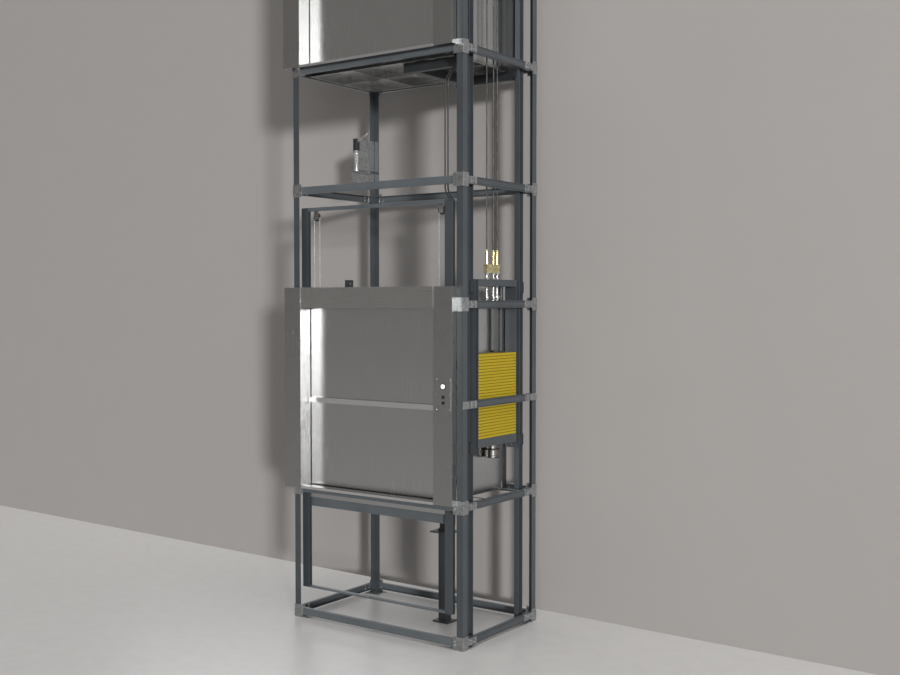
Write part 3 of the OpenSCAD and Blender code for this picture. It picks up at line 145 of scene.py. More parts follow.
def brushedStainless(name, look):
    # stainless sheet taken through an abrasive belt: long fine scratches along one axis.
    # The real ones are 0.1 mm wide and are drawn wider, so that they show at all
    material, tree, surface, place = startMaterial(name, {"Metallic": 1})
    across, along = 1000 / look["scratchMm"], 1000 / look["scratchLengthMm"]
    stretch = [across, across, across]
    stretch["xyz".index(look["grain"])] = along
    turned = addNode(tree, "ShaderNodeMapping", {"Scale": stretch}, {"Vector": place})
    scratches = addNode(tree, "ShaderNodeTexNoise", {"Scale": 1, "Detail": 4, "Roughness": 0.6},
                        {"Vector": turned.outputs["Vector"]})
    wiped = addNode(tree, "ShaderNodeTexNoise", {"Scale": 1000 / look["smudgeMm"], "Detail": 3},
                    {"Vector": place})
    tint = addNode(tree, "ShaderNodeValToRGB",
                   {"stops": [(0.3, linearColour(look["shade"])),
                              (0.7, linearColour(look["colour"]))]},
                   {"Fac": scratches.outputs["Fac"]})
    mixed = addNode(tree, "ShaderNodeMath", {"operation": "ADD"},
                    {0: scratches.outputs["Fac"], 1: wiped.outputs["Fac"]})
    sheen = addNode(tree, "ShaderNodeMapRange",
                    {"From Min": 0.6, "From Max": 1.4,
                     "To Min": look["rough"] - 0.04, "To Max": look["rough"] + 0.05},
                    {"Value": mixed.outputs["Value"]})
    bump = addNode(tree, "ShaderNodeBump", {"Strength": look["bump"], "Distance": 0.0002},
                   {"Height": scratches.outputs["Fac"]})
    joinSkin(tree, surface, tint, sheen, bump)
    return material


def enamelledCasting(name, look):
    # thick enamel over a sand casting: rounded grain, drawn coarser than sand so that it shows,
    # and small dark chips down to the iron
    material, tree, surface, place = startMaterial(name, {"Metallic": 0})
    grain = addNode(tree, "ShaderNodeTexVoronoi",
                    {"Scale": 1000 / look["grainMm"], "feature": "SMOOTH_F1"}, {"Vector": place})
    chips = addNode(tree, "ShaderNodeTexNoise", {"Scale": 1000 / look["chipMm"], "Detail": 5},
                    {"Vector": place})
    worn = addNode(tree, "ShaderNodeValToRGB",
                   {"stops": [(look["chipEdge"], grey(0)), (look["chipEdge"] + 0.02, grey(1))]},
                   {"Fac": chips.outputs["Fac"]})
    tint = addNode(tree, "ShaderNodeMixRGB",
                   {"Color1": linearColour(look["colour"]), "Color2": linearColour(look["shade"])},
                   {"Fac": worn.outputs["Color"]})
    sheen = addNode(tree, "ShaderNodeMapRange",
                    {"To Min": look["rough"] - 0.06, "To Max": look["rough"] + 0.1},
                    {"Value": chips.outputs["Fac"]})
    bump = addNode(tree, "ShaderNodeBump", {"Strength": look["bump"], "Distance": 0.0006},
                   {"Height": grain.outputs["Distance"]})
    joinSkin(tree, surface, tint, sheen, bump)
    return material


def turnedMetal(name, look):
    # bar turned on a lathe: rings left by the tool along the axis of the bar. The real ones are
    # under half a millimetre apart and are drawn wider, so that they show at all
    material, tree, surface, place = startMaterial(name, {"Metallic": 1})
    # a wave repeats every 2 pi / 20 of its scale
    rings = addNode(tree, "ShaderNodeTexWave",
                    {"Scale": 1000 * 2 * math.pi / 20 / look["ringMm"],
                     "bands_direction": look["axis"].upper(), "Distortion": 0.3},
                    {"Vector": place})
    stain = addNode(tree, "ShaderNodeTexNoise", {"Scale": 1000 / look["stainMm"], "Detail": 3},
                    {"Vector": place})
    tint = addNode(tree, "ShaderNodeValToRGB",
                   {"stops": [(0.35, linearColour(look["shade"])),
                              (0.65, linearColour(look["colour"]))]},
                   {"Fac": stain.outputs["Fac"]})
    sheen = addNode(tree, "ShaderNodeMapRange",
                    {"To Min": look["rough"] - 0.05, "To Max": look["rough"] + 0.08},
                    {"Value": rings.outputs["Fac"]})
    bump = addNode(tree, "ShaderNodeBump", {"Strength": look["bump"], "Distance": 0.0001},
                   {"Height": rings.outputs["Fac"]})
    joinSkin(tree, surface, tint, sheen, bump)
    return material


def mouldedPolymer(name, look, shader=None):
    # rubber, nylon or polycarbonate out of a mould: even colour, with the mould's fine texture,
    # which is drawn coarser than the real one so that it shows
    material, tree, surface, place = startMaterial(name, {"Metallic": 0, **(shader or {})})
    texture = addNode(tree, "ShaderNodeTexNoise",
                      {"Scale": 1000 / look["textureMm"], "Detail": 3}, {"Vector": place})
    tint = addNode(tree, "ShaderNodeValToRGB",
                   {"stops": [(0.3, linearColour(look["shade"])),
                              (0.7, linearColour(look["colour"]))]},
                   {"Fac": texture.outputs["Fac"]})
    sheen = addNode(tree, "ShaderNodeMapRange",
                    {"To Min": look["rough"] - 0.05, "To Max": look["rough"] + 0.05},
                    {"Value": texture.outputs["Fac"]})
    bump = addNode(tree, "ShaderNodeBump", {"Strength": look["bump"], "Distance": 0.0002},
                   {"Height": texture.outputs["Fac"]})
    joinSkin(tree, surface, tint, sheen, bump)
    return material


finishes = {
    # anthracite with a blue cast, as on the tower's angles and channels
    "coatedFrame": powderCoatedSteel("powderCoatedSteel", {
        "colour": "#42474b", "shade": "#3a3f43", "patchMm": 180, "peelMm": 3,
        "rough": 0.36, "bump": 0.12}),
    # a little lighter, on the ring beams and ties across the front
    "coatedBeam": powderCoatedSteel("powderCoatedBeams", {
        "colour": "#5b6165", "shade": "#52585c", "patchMm": 180, "peelMm": 3,
        "rough": 0.36, "bump": 0.12}),
    # near black, on the car's sling, the clamp on the weights and the door locks
    "blackCoat": powderCoatedSteel("blackPowderCoat", {
        "colour": "#2b2e30", "shade": "#222527", "patchMm": 120, "peelMm": 3,
        "rough": 0.45, "bump": 0.12}),
    # light grey, with the coarse texture usual on switch cabinets
    "cabinetCoat": powderCoatedSteel("texturedPowderCoat", {
        "colour": "#c4c6c6", "shade": "#b9bbbb", "patchMm": 150, "peelMm": 2,
        "rough": 0.55, "bump": 0.35}),
    "zincSheet": galvanisedSheet("galvanisedSheet", {
        "colour": "#b4b6b7", "shade": "#8f9294", "crystalMm": 9, "cloudMm": 40, "rough": 0.34}),
    # electroplated bolts and rods: brighter than dipped zinc, with a finer crystal
    "platedZinc": galvanisedSheet("zincPlatedSteel", {
        "colour": "#c6c7c7", "shade": "#a3a5a6", "crystalMm": 3, "cloudMm": 15, "rough": 0.26}),
    # the doors and the car are brushed upright, and the lintels along their length
    "doorSheet": brushedStainless("satinStainlessSheet", {
        "colour": "#b7b7b6", "shade": "#aaaaaa", "grain": "z", "scratchMm": 1.2,
        "scratchLengthMm": 160, "smudgeMm": 240, "rough": 0.24, "bump": 0.05}),
    # the jambs and call plates: the door sheet a little darker and rougher, as painted shade
    "shadedJambSheet": brushedStainless("satinStainlessJambPaintedShade", {
        "colour": "#a0a09f", "shade": "#9b9b9a", "grain": "z", "scratchMm": 1.2,
        "scratchLengthMm": 160, "smudgeMm": 240, "rough": 0.28, "bump": 0.02}),
    "lintelSheet": brushedStainless("satinStainlessLintel", {
        "colour": "#b2b2b1", "shade": "#adadac", "grain": "x", "scratchMm": 1.2,
        "scratchLengthMm": 160, "smudgeMm": 240, "rough": 0.26, "bump": 0.02}),
    "brightSheet": brushedStainless("brightStainless", {
        "colour": "#dcdcdb", "shade": "#cdcdcd", "grain": "x", "scratchMm": 1.0,
        "scratchLengthMm": 90, "smudgeMm": 150, "rough": 0.24, "bump": 0.05}),
    "weightEnamel": enamelledCasting("yellowEnamelOnIron", {
        "colour": "#a28c06", "shade": "#74640c", "grainMm": 5, "chipMm": 9, "chipEdge": 0.69,
        "rough": 0.58, "bump": 0.25}),
    "driveEnamel": enamelledCasting("greyEnamelOnIron", {
        "colour": "#6a7378", "shade": "#50585c", "grainMm": 6, "chipMm": 12, "chipEdge": 0.68,
        "rough": 0.40, "bump": 0.3}),
    "sheaveIron": turnedMetal("machinedCastIron", {
        "colour": "#8d8f90", "shade": "#76797b", "axis": "y", "ringMm": 15.71, "stainMm": 35,
        "rough": 0.38, "bump": 0.15}),
    # the counterweight's buffer, turned and burnished bright
    "turnedSteel": turnedMetal("burnishedSteel", {
        "colour": "#7e7c79", "shade": "#6c6a67", "axis": "z", "ringMm": 12.57, "stainMm": 25,
        "rough": 0.26, "bump": 0.1}),
    "socketBrass": turnedMetal("turnedBrass", {
        "colour": "#e6dcae", "shade": "#c9bc8c", "axis": "z", "ringMm": 12.57, "stainMm": 20,
        "rough": 0.28, "bump": 0.12}),
    "moulded": mouldedPolymer("mouldedRubber", {
        "colour": "#202122", "shade": "#191a1b", "textureMm": 2, "rough": 0.62, "bump": 0.15}),
    "nylon": mouldedPolymer("glassFilledNylon", {
        "colour": "#26282a", "shade": "#1e2021", "textureMm": 1.5, "rough": 0.48, "bump": 0.1}),
    "sheath": mouldedPolymer("extrudedPvcSheath", {
        "colour": "#2c2d2e", "shade": "#242526", "textureMm": 2, "rough": 0.45, "bump": 0.08}),
    # a lamp behind a frosted cap: the cap itself glows
    "buttonCap": mouldedPolymer("frostedPolycarbonate", {
        "colour": "#fbfbf8", "shade": "#f3f3ef", "textureMm": 1.5, "rough": 0.3, "bump": 0.03},
        {"Emission Color": [1, 1, 0.97, 1], "Emission Strength": 0.5, "IOR": 1.58}),
    "darkLens": mouldedPolymer("smokedPolycarbonate", {
        "colour": "#17181a", "shade": "#111214", "textureMm": 2, "rough": 0.12, "bump": 0.02},
        {"IOR": 1.58}),
    # drawn wire laid in strands, with a film of grease that dulls it
    "wireRope": turnedMetal("greasedWireRope", {
        "colour": "#5d5d5a", "shade": "#464644", "axis": "z", "ringMm": 18.85, "stainMm": 30,
        "rough": 0.42, "bump": 0.2}),
    # dry galvanised rope, on the doors
    "zincRope": turnedMetal("galvanisedWireRope", {
        "colour": "#b5b6b6", "shade": "#989a9a", "axis": "z", "ringMm": 18.85, "stainMm": 30,
        "rough": 0.36, "bump": 0.15}),
    "springTape": brushedStainless("rolledSpringSteel", {
        "colour": "#a7aaae", "shade": "#94979b", "grain": "z", "scratchMm": 0.8,
        "scratchLengthMm": 60, "smudgeMm": 80, "rough": 0.24, "bump": 0.04}),
    "chrome": galvanisedSheet("platedChromium", {
        "colour": "#e9eaeb", "shade": "#dcdddf", "crystalMm": 6, "cloudMm": 25, "rough": 0.14}),
}

# which finish each part of the lift has, and how far its edges are rounded, in millimetres
wearers = {
    "coatedFrame": {
        "corner_posts": 1.2, "side_beams": 0.9, "guide_rails": 0.9, "door_guide_posts": 0.9,
        "counterweight_frame": 0.9, "machine_beams": 1.0, "buffer_stand": 1.5},
    "coatedBeam": {"cross_beams": 0.9, "door_guide_ties": 0.9},
    "blackCoat": {"door_locks": 1.5, "car_sling": 1.5, "counterweight_clamp": 1},
    "turnedSteel": {"counterweight_buffer": 0.8},
    "cabinetCoat": {"control_cabinet": 0.7, "cabinet_door": 0.7},
    "zincSheet": {
        "corner_brackets": 0.8, "foot_plates": 0.8, "rail_clips": 0.8,
        "door_pulley_brackets": 0.6, "limit_switch": 0.8},
    "platedZinc": {
        "bracket_bolts": 0, "counterweight_rope_rods": 0, "counterweight_springs": 0,
        "limit_lever": 0.4},
    "doorSheet": {
        "lower_door_top_panel": 0.7, "lower_door_bottom_panel": 0.7,
        "upper_door_fast_panel": 0.7, "upper_door_slow_panel": 0.7, "car_walls": 0.6,
        "counterweight_screen": 0.4},
    "shadedJambSheet": {"door_jambs": 0.7, "call_plates": 0.5},
    "lintelSheet": {"door_lintels": 0.7, "car_floor": 0.6, "car_roof": 0.6},
    "brightSheet": {
        "door_sills": 0.6, "lower_door_handle": 0.8, "upper_door_handle": 0.8, "car_shelf": 0.6},
    "weightEnamel": {"counterweight_plates": 0},
    "driveEnamel": {"gear_motor": 1.5},
    "sheaveIron": {"traction_sheave": 0.8},
    "socketBrass": {"car_rope_hitch": 0.5, "counterweight_rope_sockets": 0.8},
    "moulded": {"buffer_pad": 0.8},
    "nylon": {
        "left_door_pulley": 0.4, "right_door_pulley": 0.4, "left_balance_reel": 0.4,
        "right_balance_reel": 0.4, "car_guide_shoes": 0.8, "counterweight_shoes": 0.8},
    "buttonCap": {"lower_call_button": 0.8, "upper_call_button": 0.8},
    "wireRope": {
        "car_ropes": 0, "counterweight_ropes": 0, "rope_bends": 0, "door_lift_ropes": 0,
        "door_drop_ropes": 0},
    "springTape": {"door_balance_tapes": 0},
    "sheath": {"landing_cables": 0},
}


def softenEdges(piece, width):
    # bent and sawn edges are never sharp: this gives them the thin highlight of a real edge
    weld = piece.modifiers.new("joinFaces", "WELD")
    weld.merge_threshold = 0.00002
    bevel = piece.modifiers.new("roundEdges", "BEVEL")
    bevel.width = width / 1000
    bevel.segments = 2
    bevel.limit_method = "ANGLE"
    bevel.angle_limit = math.radians(40)
    bevel.use_clamp_overlap = True
    normals = piece.modifiers.new("flatFaces", "WEIGHTED_NORMAL")
    normals.keep_sharp = True


def wearFinish(piece, finish):
    if piece.data.materials:
        for slot in piece.material_slots:
            slot.material = finishes[finish]
    else:
        piece.data.materials.append(finishes[finish])


for finish, parts in wearers.items():
    for part, rounding in parts.items():
        wearFinish(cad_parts[part], finish)
        if rounding:
            softenEdges(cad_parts[part], rounding)
bare = set(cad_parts) - {part for parts in wearers.values() for part in parts}
print("finishes set, parts without one:", sorted(bare))


def meshPiece(name, vertices, faces, finish, smooth=True):
    mesh = bpy.data.meshes.new(name)
    mesh.from_pydata([tuple(v) for v in vertices], [], faces)
    mesh.update()
    piece = bpy.data.objects.new(name, mesh)
    bpy.context.scene.collection.objects.link(piece)
    bm = bmesh.new()
    bm.from_mesh(mesh)
    bmesh.ops.recalc_face_normals(bm, faces=bm.faces)
    bm.to_mesh(mesh)
    bm.free()
    for polygon in mesh.polygons:
        polygon.use_smooth = smooth
    mesh.materials.append(finishes[finish])
    return piece


def tubeFaces(first, rings, sides):
    # the skin over rings of vertices that follow one another from the first, capped at both ends
    faces = []
    for ring in range(rings - 1):
        for k in range(sides):
            a, b = first + ring * sides + k, first + ring * sides + (k + 1) % sides
            faces.append((a, b, b + sides, a + sides))
    faces.append(tuple(first + k for k in range(sides)))
    faces.append(tuple(first + (rings - 1) * sides + k for k in reversed(range(sides))))
    return faces


def crossAxes(axis):
    axis = Vector(axis).normalized()
    side = Vector((0, 0, 1)) if abs(axis.z) < 0.9 else Vector((0, 1, 0))
    u = axis.cross(side).normalized()
    return axis, u, axis.cross(u)


def turnedParts(name, profile, places, axis, finish, sides=32):
    # the profile is a list of (radius, height) in millimetres, turned about the axis at each place
    axis, u, v = crossAxes(axis)
    tip = 0.01  # no ring is smaller, so that the face at a tip keeps an area
    vertices, faces = [], []
    for place in places:
        first = len(vertices)
        for radius, height in profile:
            for k in range(sides):
                turn = 2 * math.pi * k / sides
                out = u * math.cos(turn) + v * math.sin(turn)
                vertices.append(place + axis * height / 1000 + out * max(radius, tip) / 1000)
        faces += tubeFaces(first, len(profile), sides)
    piece = meshPiece(name, vertices, faces, finish)
    piece.data.set_sharp_from_angle(angle=math.radians(35))
    return piece


def roundedBlocks(name, blocks, rounding, finish):
    # blocks between (x, y, z) corners, in tower millimetres, with rounded edges
    bm = bmesh.new()
    for low, high in blocks:
        a, b = spot(*low), spot(*high)
        made = bmesh.ops.create_cube(bm, size=1)
        for vertex in made["verts"]:
            vertex.co = Vector([a[i] + (b[i] - a[i]) * (vertex.co[i] + 0.5) for i in range(3)])
    bmesh.ops.bevel(bm, geom=list(bm.edges), offset=rounding / 1000, segments=2, profile=0.6,
                    affect="EDGES", clamp_overlap=True)
    mesh = bpy.data.meshes.new(name)
    bm.to_mesh(mesh)
    bm.free()
    for polygon in mesh.polygons:
        polygon.use_smooth = True
    piece = bpy.data.objects.new(name, mesh)
    bpy.context.scene.collection.objects.link(piece)
    piece.modifiers.new("flatFaces", "WEIGHTED_NORMAL").keep_sharp = True
    mesh.materials.append(finishes[finish])
    return piece


def strandedTubes(name, paths, rope, finish):
    # rope laid in strands: a section with one lobe per strand, turned evenly along each path
    vertices, faces = [], []
    sides = rope["strands"] * 4
    groove = 0.16  # how deep it lies between two strands, as a share of the radius
    for path in paths:
        first = len(vertices)
        travelled = 0
        for i, point in enumerate(path):
            if i:
                travelled += (point - path[i - 1]).length * 1000
            ahead = (path[min(i + 1, len(path) - 1)] - path[max(i - 1, 0)]).normalized()
            u = ahead.cross(Vector((0, 1, 0))).normalized()
            v = ahead.cross(u)
            lay = 2 * math.pi * travelled / rope["layMm"]
            for k in range(sides):
                turn = 2 * math.pi * k / sides
                lobe = abs(math.cos(rope["strands"] * turn / 2))
                radius = rope["radiusMm"] / 1000 * (1 - groove + groove * lobe)
                out = u * math.cos(turn + lay) + v * math.sin(turn + lay)
                vertices.append(point + out * radius)
        faces += tubeFaces(first, len(path), sides)
    return meshPiece(name, vertices, faces, finish)


def straightPath(x, y, high, low, step):
    count = max(2, round((high - low) / step))
    return [spot(x, y, high + (low - high) * i / count) for i in range(count + 1)]


def halfTurn(x, y, z, radius, step):
    count = max(12, round(math.pi * radius / step))
    return [spot(x + radius * math.cos(math.pi * i / count), y,
                 z + radius * math.sin(math.pi * i / count)) for i in range(count + 1)]


# 8 mm hoist ropes of six strands, over a sheave of 165 mm radius
hoistRope = {"radiusMm": 4, "strands": 6, "layMm": 52, "stepMm": 5.2, "y": [318, 382, 418],
             "carX": 750, "weightX": 1080, "topZ": 4960, "carZ": 4300, "weightZ": 2046,
             "sheaveX": 915, "sheaveR": 165, "finish": "wireRope", "slot": "black_paint"}
# 4 mm ropes that carry the two lower door panels against each other
doorRope = {"radiusMm": 2, "strands": 6, "layMm": 26, "stepMm": 2.6, "y": 74, "topZ": 2243,
            "liftX": [127, 947], "liftZ": 1710, "dropX": [87, 987], "dropZ": 1214,
            "pulleyX": [107, 967], "pulleyR": 20, "finish": "zincRope", "slot": "bright_steel"}


def stretchedRope(name, lines, rope, highZ, lowZ, node):
    piece = strandedTubes(name, [straightPath(x, y, highZ, lowZ, rope["stepMm"]) for x, y in lines],
                          rope, rope["finish"])
    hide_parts(node)
    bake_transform(piece)


stretchedRope("carHoistRopes", [(hoistRope["carX"], y) for y in hoistRope["y"]], hoistRope,
              hoistRope["topZ"], hoistRope["carZ"], "car_ropes")
stretchedRope("weightHoistRopes", [(hoistRope["weightX"], y) for y in hoistRope["y"]], hoistRope,
              hoistRope["topZ"], hoistRope["weightZ"], "counterweight_ropes")
stretchedRope("doorLiftRopes", [(x, doorRope["y"]) for x in doorRope["liftX"]], doorRope,
              doorRope["topZ"], doorRope["liftZ"], "door_lift_ropes")
stretchedRope("doorDropRopes", [(x, doorRope["y"]) for x in doorRope["dropX"]], doorRope,
              doorRope["topZ"], doorRope["dropZ"], "door_drop_ropes")

sheaveBends = strandedTubes("hoistRopeBends", [
    halfTurn(hoistRope["sheaveX"], y, hoistRope["topZ"], hoistRope["sheaveR"], hoistRope["stepMm"])
    for y in hoistRope["y"]], hoistRope, hoistRope["finish"])
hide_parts("rope_bends")
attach(sheaveBends, "tower")
doorBends = strandedTubes("doorRopeBends", [
    halfTurn(x, doorRope["y"], doorRope["topZ"], doorRope["pulleyR"], doorRope["stepMm"])
    for x in doorRope["pulleyX"]], doorRope, doorRope["finish"])
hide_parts("rope_bends")
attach(doorBends, "tower")

# the flat spring tapes that carry the upper door
balanceTape = {"x": [127, 947], "y": 72, "highZ": 4647, "lowZ": 4098, "width": 8, "thick": 1.5,
               "steps": 48}
tapeVertices, tapeFaces = [], []
for x in balanceTape["x"]:
    first = len(tapeVertices)
    for i in range(balanceTape["steps"] + 1):
        z = (balanceTape["highZ"]
             + (balanceTape["lowZ"] - balanceTape["highZ"]) * i / balanceTape["steps"])
        for dx, dy in ((-1, -1), (1, -1), (1, 1), (-1, 1)):
            tapeVertices.append(spot(x + dx * balanceTape["thick"] / 2,
                                     balanceTape["y"] + dy * balanceTape["width"] / 2, z))
    tapeFaces += tubeFaces(first, balanceTape["steps"] + 1, 4)
tapes = meshPiece("balanceTapes", tapeVertices, tapeFaces, "springTape", False)
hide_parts("door_balance_tapes")
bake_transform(tapes)
print("ropes and tapes made")

# the counterweight's yellow filler weights, one on the other
weightStack = {"count": 28, "height": 15.8, "gap": 1.6, "low": 1057, "x": (1049, 1120),
               "y": (187, 549), "rounding": 2.6}
slabs = []
for i in range(weightStack["count"]):
    z = weightStack["low"] + i * weightStack["height"]
    slabs.append(((weightStack["x"][0], weightStack["y"][0], z),
                  (weightStack["x"][1], weightStack["y"][1],
                   z + weightStack["height"] - weightStack["gap"])))
weights = roundedBlocks("fillerWeights", slabs, weightStack["rounding"], "weightEnamel")
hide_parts("counterweight_plates")
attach(weights, "counterweight")

# compression springs on the rope rods
rodSpring = {"low": 1798, "high": 1880, "turns": 5, "radius": 11.5, "wire": 1.9, "steps": 20,
             "sides": 10}
springVertices, springFaces = [], []
coilSteps = rodSpring["turns"] * rodSpring["steps"]
for y in hoistRope["y"]:
    first = len(springVertices)
    for i in range(coilSteps + 1):
        turn = 2 * math.pi * i / rodSpring["steps"]
        out = Vector((math.cos(turn), math.sin(turn), 0))
        z = rodSpring["low"] + (rodSpring["high"] - rodSpring["low"]) * i / coilSteps
        wire = spot(hoistRope["weightX"], y, z) + out * rodSpring["radius"] / 1000
        for k in range(rodSpring["sides"]):
            around = 2 * math.pi * k / rodSpring["sides"]
            rim = out * math.cos(around) + Vector((0, 0, math.sin(around)))
            springVertices.append(wire + rim * rodSpring["wire"] / 1000)
    springFaces += tubeFaces(first, coilSteps + 1, rodSpring["sides"])
springs = meshPiece("rodSprings", springVertices, springFaces, "platedZinc")
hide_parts("counterweight_springs")
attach(springs, "counterweight")

# collars where the ropes enter their sockets
socketCollar = {"belowRopeEnd": 32, "profile": [(4.4, 0), (9.6, 0), (9.6, 5), (8.4, 7), (8.4, 10),
                                                (9.6, 12), (9.6, 16), (4.4, 16)]}
weightCollarZ = hoistRope["weightZ"] - socketCollar["belowRopeEnd"]
weightCollars = turnedParts("weightSocketCollars", socketCollar["profile"],
                            [spot(hoistRope["weightX"], y, weightCollarZ) for y in hoistRope["y"]],
                            (0, 0, 1), "socketBrass")
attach(weightCollars, "counterweight")
carCollarZ = hoistRope["carZ"] - socketCollar["belowRopeEnd"]
carCollars = turnedParts("carSocketCollars", socketCollar["profile"],
                         [spot(hoistRope["carX"], y, carCollarZ) for y in hoistRope["y"]],
                         (0, 0, 1), "socketBrass")
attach(carCollars, "car")
print("counterweight made")

# two sheathed 8 mm cables from the cabinet down to the lower call station. Each swerve is given
# by where it starts and ends: along the top, at the foot of the upper door's guides, at the top
# of the lower door's guides, and above the call station's box
cable = {"radiusMm": 4, "pitch": 12, "glandPitch": 18, "boxPitch": 16, "bend": 34,
         "glandX": 342, "glandY": 157.5, "glandZ": 4727, "runZ": 4677, "runSwerveX": (502, 994),
         "downX": 1064, "downY": 76, "footSwerveZ": (3024, 2884), "midX": 986, "backY": 74,
         "topSwerveZ": (2360, 2270), "lowX": 1022, "boxSwerveZ": (1505, 1405), "endX": 1066,
         "endZ": 1363, "boxY": -4, "glandSleeveMm": 26, "boxSleeveMm": 40,
         "sleeveRadii": (6.8, 4.5), "sleeveSides": 16}


def eased(a, b, axis):
    # nine points from a to b, evenly spaced along one axis and eased along the others
    points = []
    for step in range(9):
        even = step / 8
        soft = (1 - math.cos(math.pi * even)) / 2
        points.append(tuple(a[i] + (b[i] - a[i]) * (even if i == axis else soft)
                            for i in range(3)))
    return points


def quarterBend(centre, radius, u, start, end):
    # five points round a bend that stands upright over the direction u, between two angles
    points = []
    for step in range(5):
        turn = math.radians(start + (end - start) * step / 4)
        out, up = radius * math.cos(turn), radius * math.sin(turn)
        points.append((centre[0] + out * u[0], centre[1] + out * u[1], centre[2] + up))
    return points


def cableRoute(k):
    startX = cable["glandX"] + cable["glandPitch"] * k
    runZ = cable["runZ"] + cable["pitch"] * k
    highX = cable["downX"] + cable["pitch"] * k
    turn = cable["bend"] + cable["pitch"] * k
    midX = cable["midX"] + cable["glandPitch"] * k
    lowX, endX = cable["lowX"] + cable["boxPitch"] * k, cable["endX"] + cable["boxPitch"] * k
    y, backY, z, bend = cable["downY"], cable["backY"], cable["endZ"], cable["bend"]
    runStart, runEnd = cable["runSwerveX"][0], cable["runSwerveX"][1] + cable["pitch"] * k
    (footHigh, footLow), (topHigh, topLow) = cable["footSwerveZ"], cable["topSwerveZ"]
    boxHigh, boxLow = cable["boxSwerveZ"]
    points = [(startX, cable["glandY"], cable["glandZ"])]
    points += quarterBend((startX + bend, cable["glandY"], runZ + bend), bend, (1, 0), 180, 270)
    points += eased((runStart, cable["glandY"], runZ), (runEnd, y, runZ), 0)
    points += quarterBend((highX - turn, y, runZ - turn), turn, (1, 0), 90, 0)
    points += eased((highX, y, footHigh), (midX, backY, footLow), 2)
    points += eased((midX, backY, topHigh), (lowX, backY, topLow), 2)
    points += eased((lowX, backY, boxHigh), (endX, y, boxLow), 2)
    points += quarterBend((endX, y - bend, z), bend, (0, 1), 0, -90)
    points.append((endX, cable["boxY"], z - bend))
    return [spot(*point) for point in points]


def taperedSleeve(name, route, lengthMm, radii):
    # a moulded strain relief that narrows along the first stretch of a cable's route
    rings, left = [(route[0], 0)], lengthMm / 1000
    for a, b in zip(route, route[1:]):
        step = (b - a).length
        if step >= left:
            rings.append((a.lerp(b, left / step), lengthMm))
            break
        left -= step
        rings.append((b, lengthMm - left * 1000))
    sides, vertices = cable["sleeveSides"], []
    for i, (point, travelled) in enumerate(rings):
        ahead = (rings[min(i + 1, len(rings) - 1)][0] - rings[max(i - 1, 0)][0]).normalized()
        u = ahead.cross(Vector((1, -1, 0))).normalized()
        v = ahead.cross(u)
        radius = (radii[0] + (radii[1] - radii[0]) * travelled / lengthMm) / 1000
        for k in range(sides):
            turn = 2 * math.pi * k / sides
            vertices.append(point + (u * math.cos(turn) + v * math.sin(turn)) * radius)
    sleeve = meshPiece(name, vertices, tubeFaces(0, len(rings), sides), "sheath")
    sleeve.data.set_sharp_from_angle(angle=math.radians(35))
    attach(sleeve, "tower")
    return sleeve


for k in range(2):
    route = cableRoute(k)
    curve = bpy.data.curves.new("landingCable" + str(k + 1), "CURVE")
    curve.dimensions = "3D"
    curve.bevel_depth = cable["radiusMm"] / 1000
    curve.bevel_resolution = 4
    curve.use_fill_caps = True
    curve.resolution_u = 4
    line = curve.splines.new("POLY")
    line.points.add(len(route) - 1)
    for knot, point in zip(line.points, route):
        knot.co = (*point, 1)
    line.use_smooth = True
    lead = bpy.data.objects.new("landingCable" + str(k + 1), curve)
    bpy.context.scene.collection.objects.link(lead)
    curve.materials.append(finishes["sheath"])
    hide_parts("landing_cables")
    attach(lead, "tower")
    sleeves = [taperedSleeve("glandSleeve" + str(k + 1), route, cable["glandSleeveMm"],
                             cable["sleeveRadii"]),
               taperedSleeve("boxSleeve" + str(k + 1), route[::-1], cable["boxSleeveMm"],
                             cable["sleeveRadii"])]
print("landing cables made")

# the call stations, at each landing: three rows of plate screws, a button and two indicators
station = {"x": 1056, "faceY": -42, "z": 1303, "rises": (0, 2320), "screwX": 40, "screwZ": 77,
           "buttonZ": 1343, "lensZ": (1289, 1260), "lensY": -43, "capBaseY": -34.5}
# screws with a domed head and a hexagon-like recess, shown as a dark dimple
screwProfile = [(3.6, 0), (3.6, 0.6), (3.0, 1.6), (1.9, 2.1), (1.5, 2.1), (1.3, 1.2), (0.01, 1.2)]
plateScrews, ringPlaces, lensPlaces = [], [], []
for rise in station["rises"]:
    for dx in (-station["screwX"], station["screwX"]):
        for dz in (-station["screwZ"], 0, station["screwZ"]):
            plateScrews.append(spot(station["x"] + dx, station["faceY"], station["z"] + dz + rise))
    ringPlaces.append(spot(station["x"], station["faceY"], station["buttonZ"] + rise))
    lensPlaces += [spot(station["x"], station["lensY"], z + rise) for z in station["lensZ"]]
screws = turnedParts("callPlateScrews", screwProfile, plateScrews, (0, -1, 0), "platedZinc",
                     20)
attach(screws, "tower")
buttonRings = turnedParts("callButtonRings",
                          [(12.6, 0), (16.5, 0), (16.5, 1.6), (15.5, 2.4), (13.6, 2.4),
                           (12.6, 1.6)],
                          ringPlaces, (0, -1, 0), "darkLens", 40)
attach(buttonRings, "tower")
lensRings = turnedParts("indicatorRings",
                        [(6.2, 0), (9.2, 0), (9.2, 1), (8.6, 1.6), (6.8, 1.6), (6.2, 1)],
                        lensPlaces, (0, -1, 0), "darkLens", 32)
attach(lensRings, "tower")
lenses = turnedParts("indicatorLenses",
                     [(6.4, 0), (6.4, 0.7), (4.8, 1.4), (2.4, 1.75), (0.01, 1.85)],
                     lensPlaces, (0, -1, 0), "darkLens", 32)
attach(lenses, "tower")

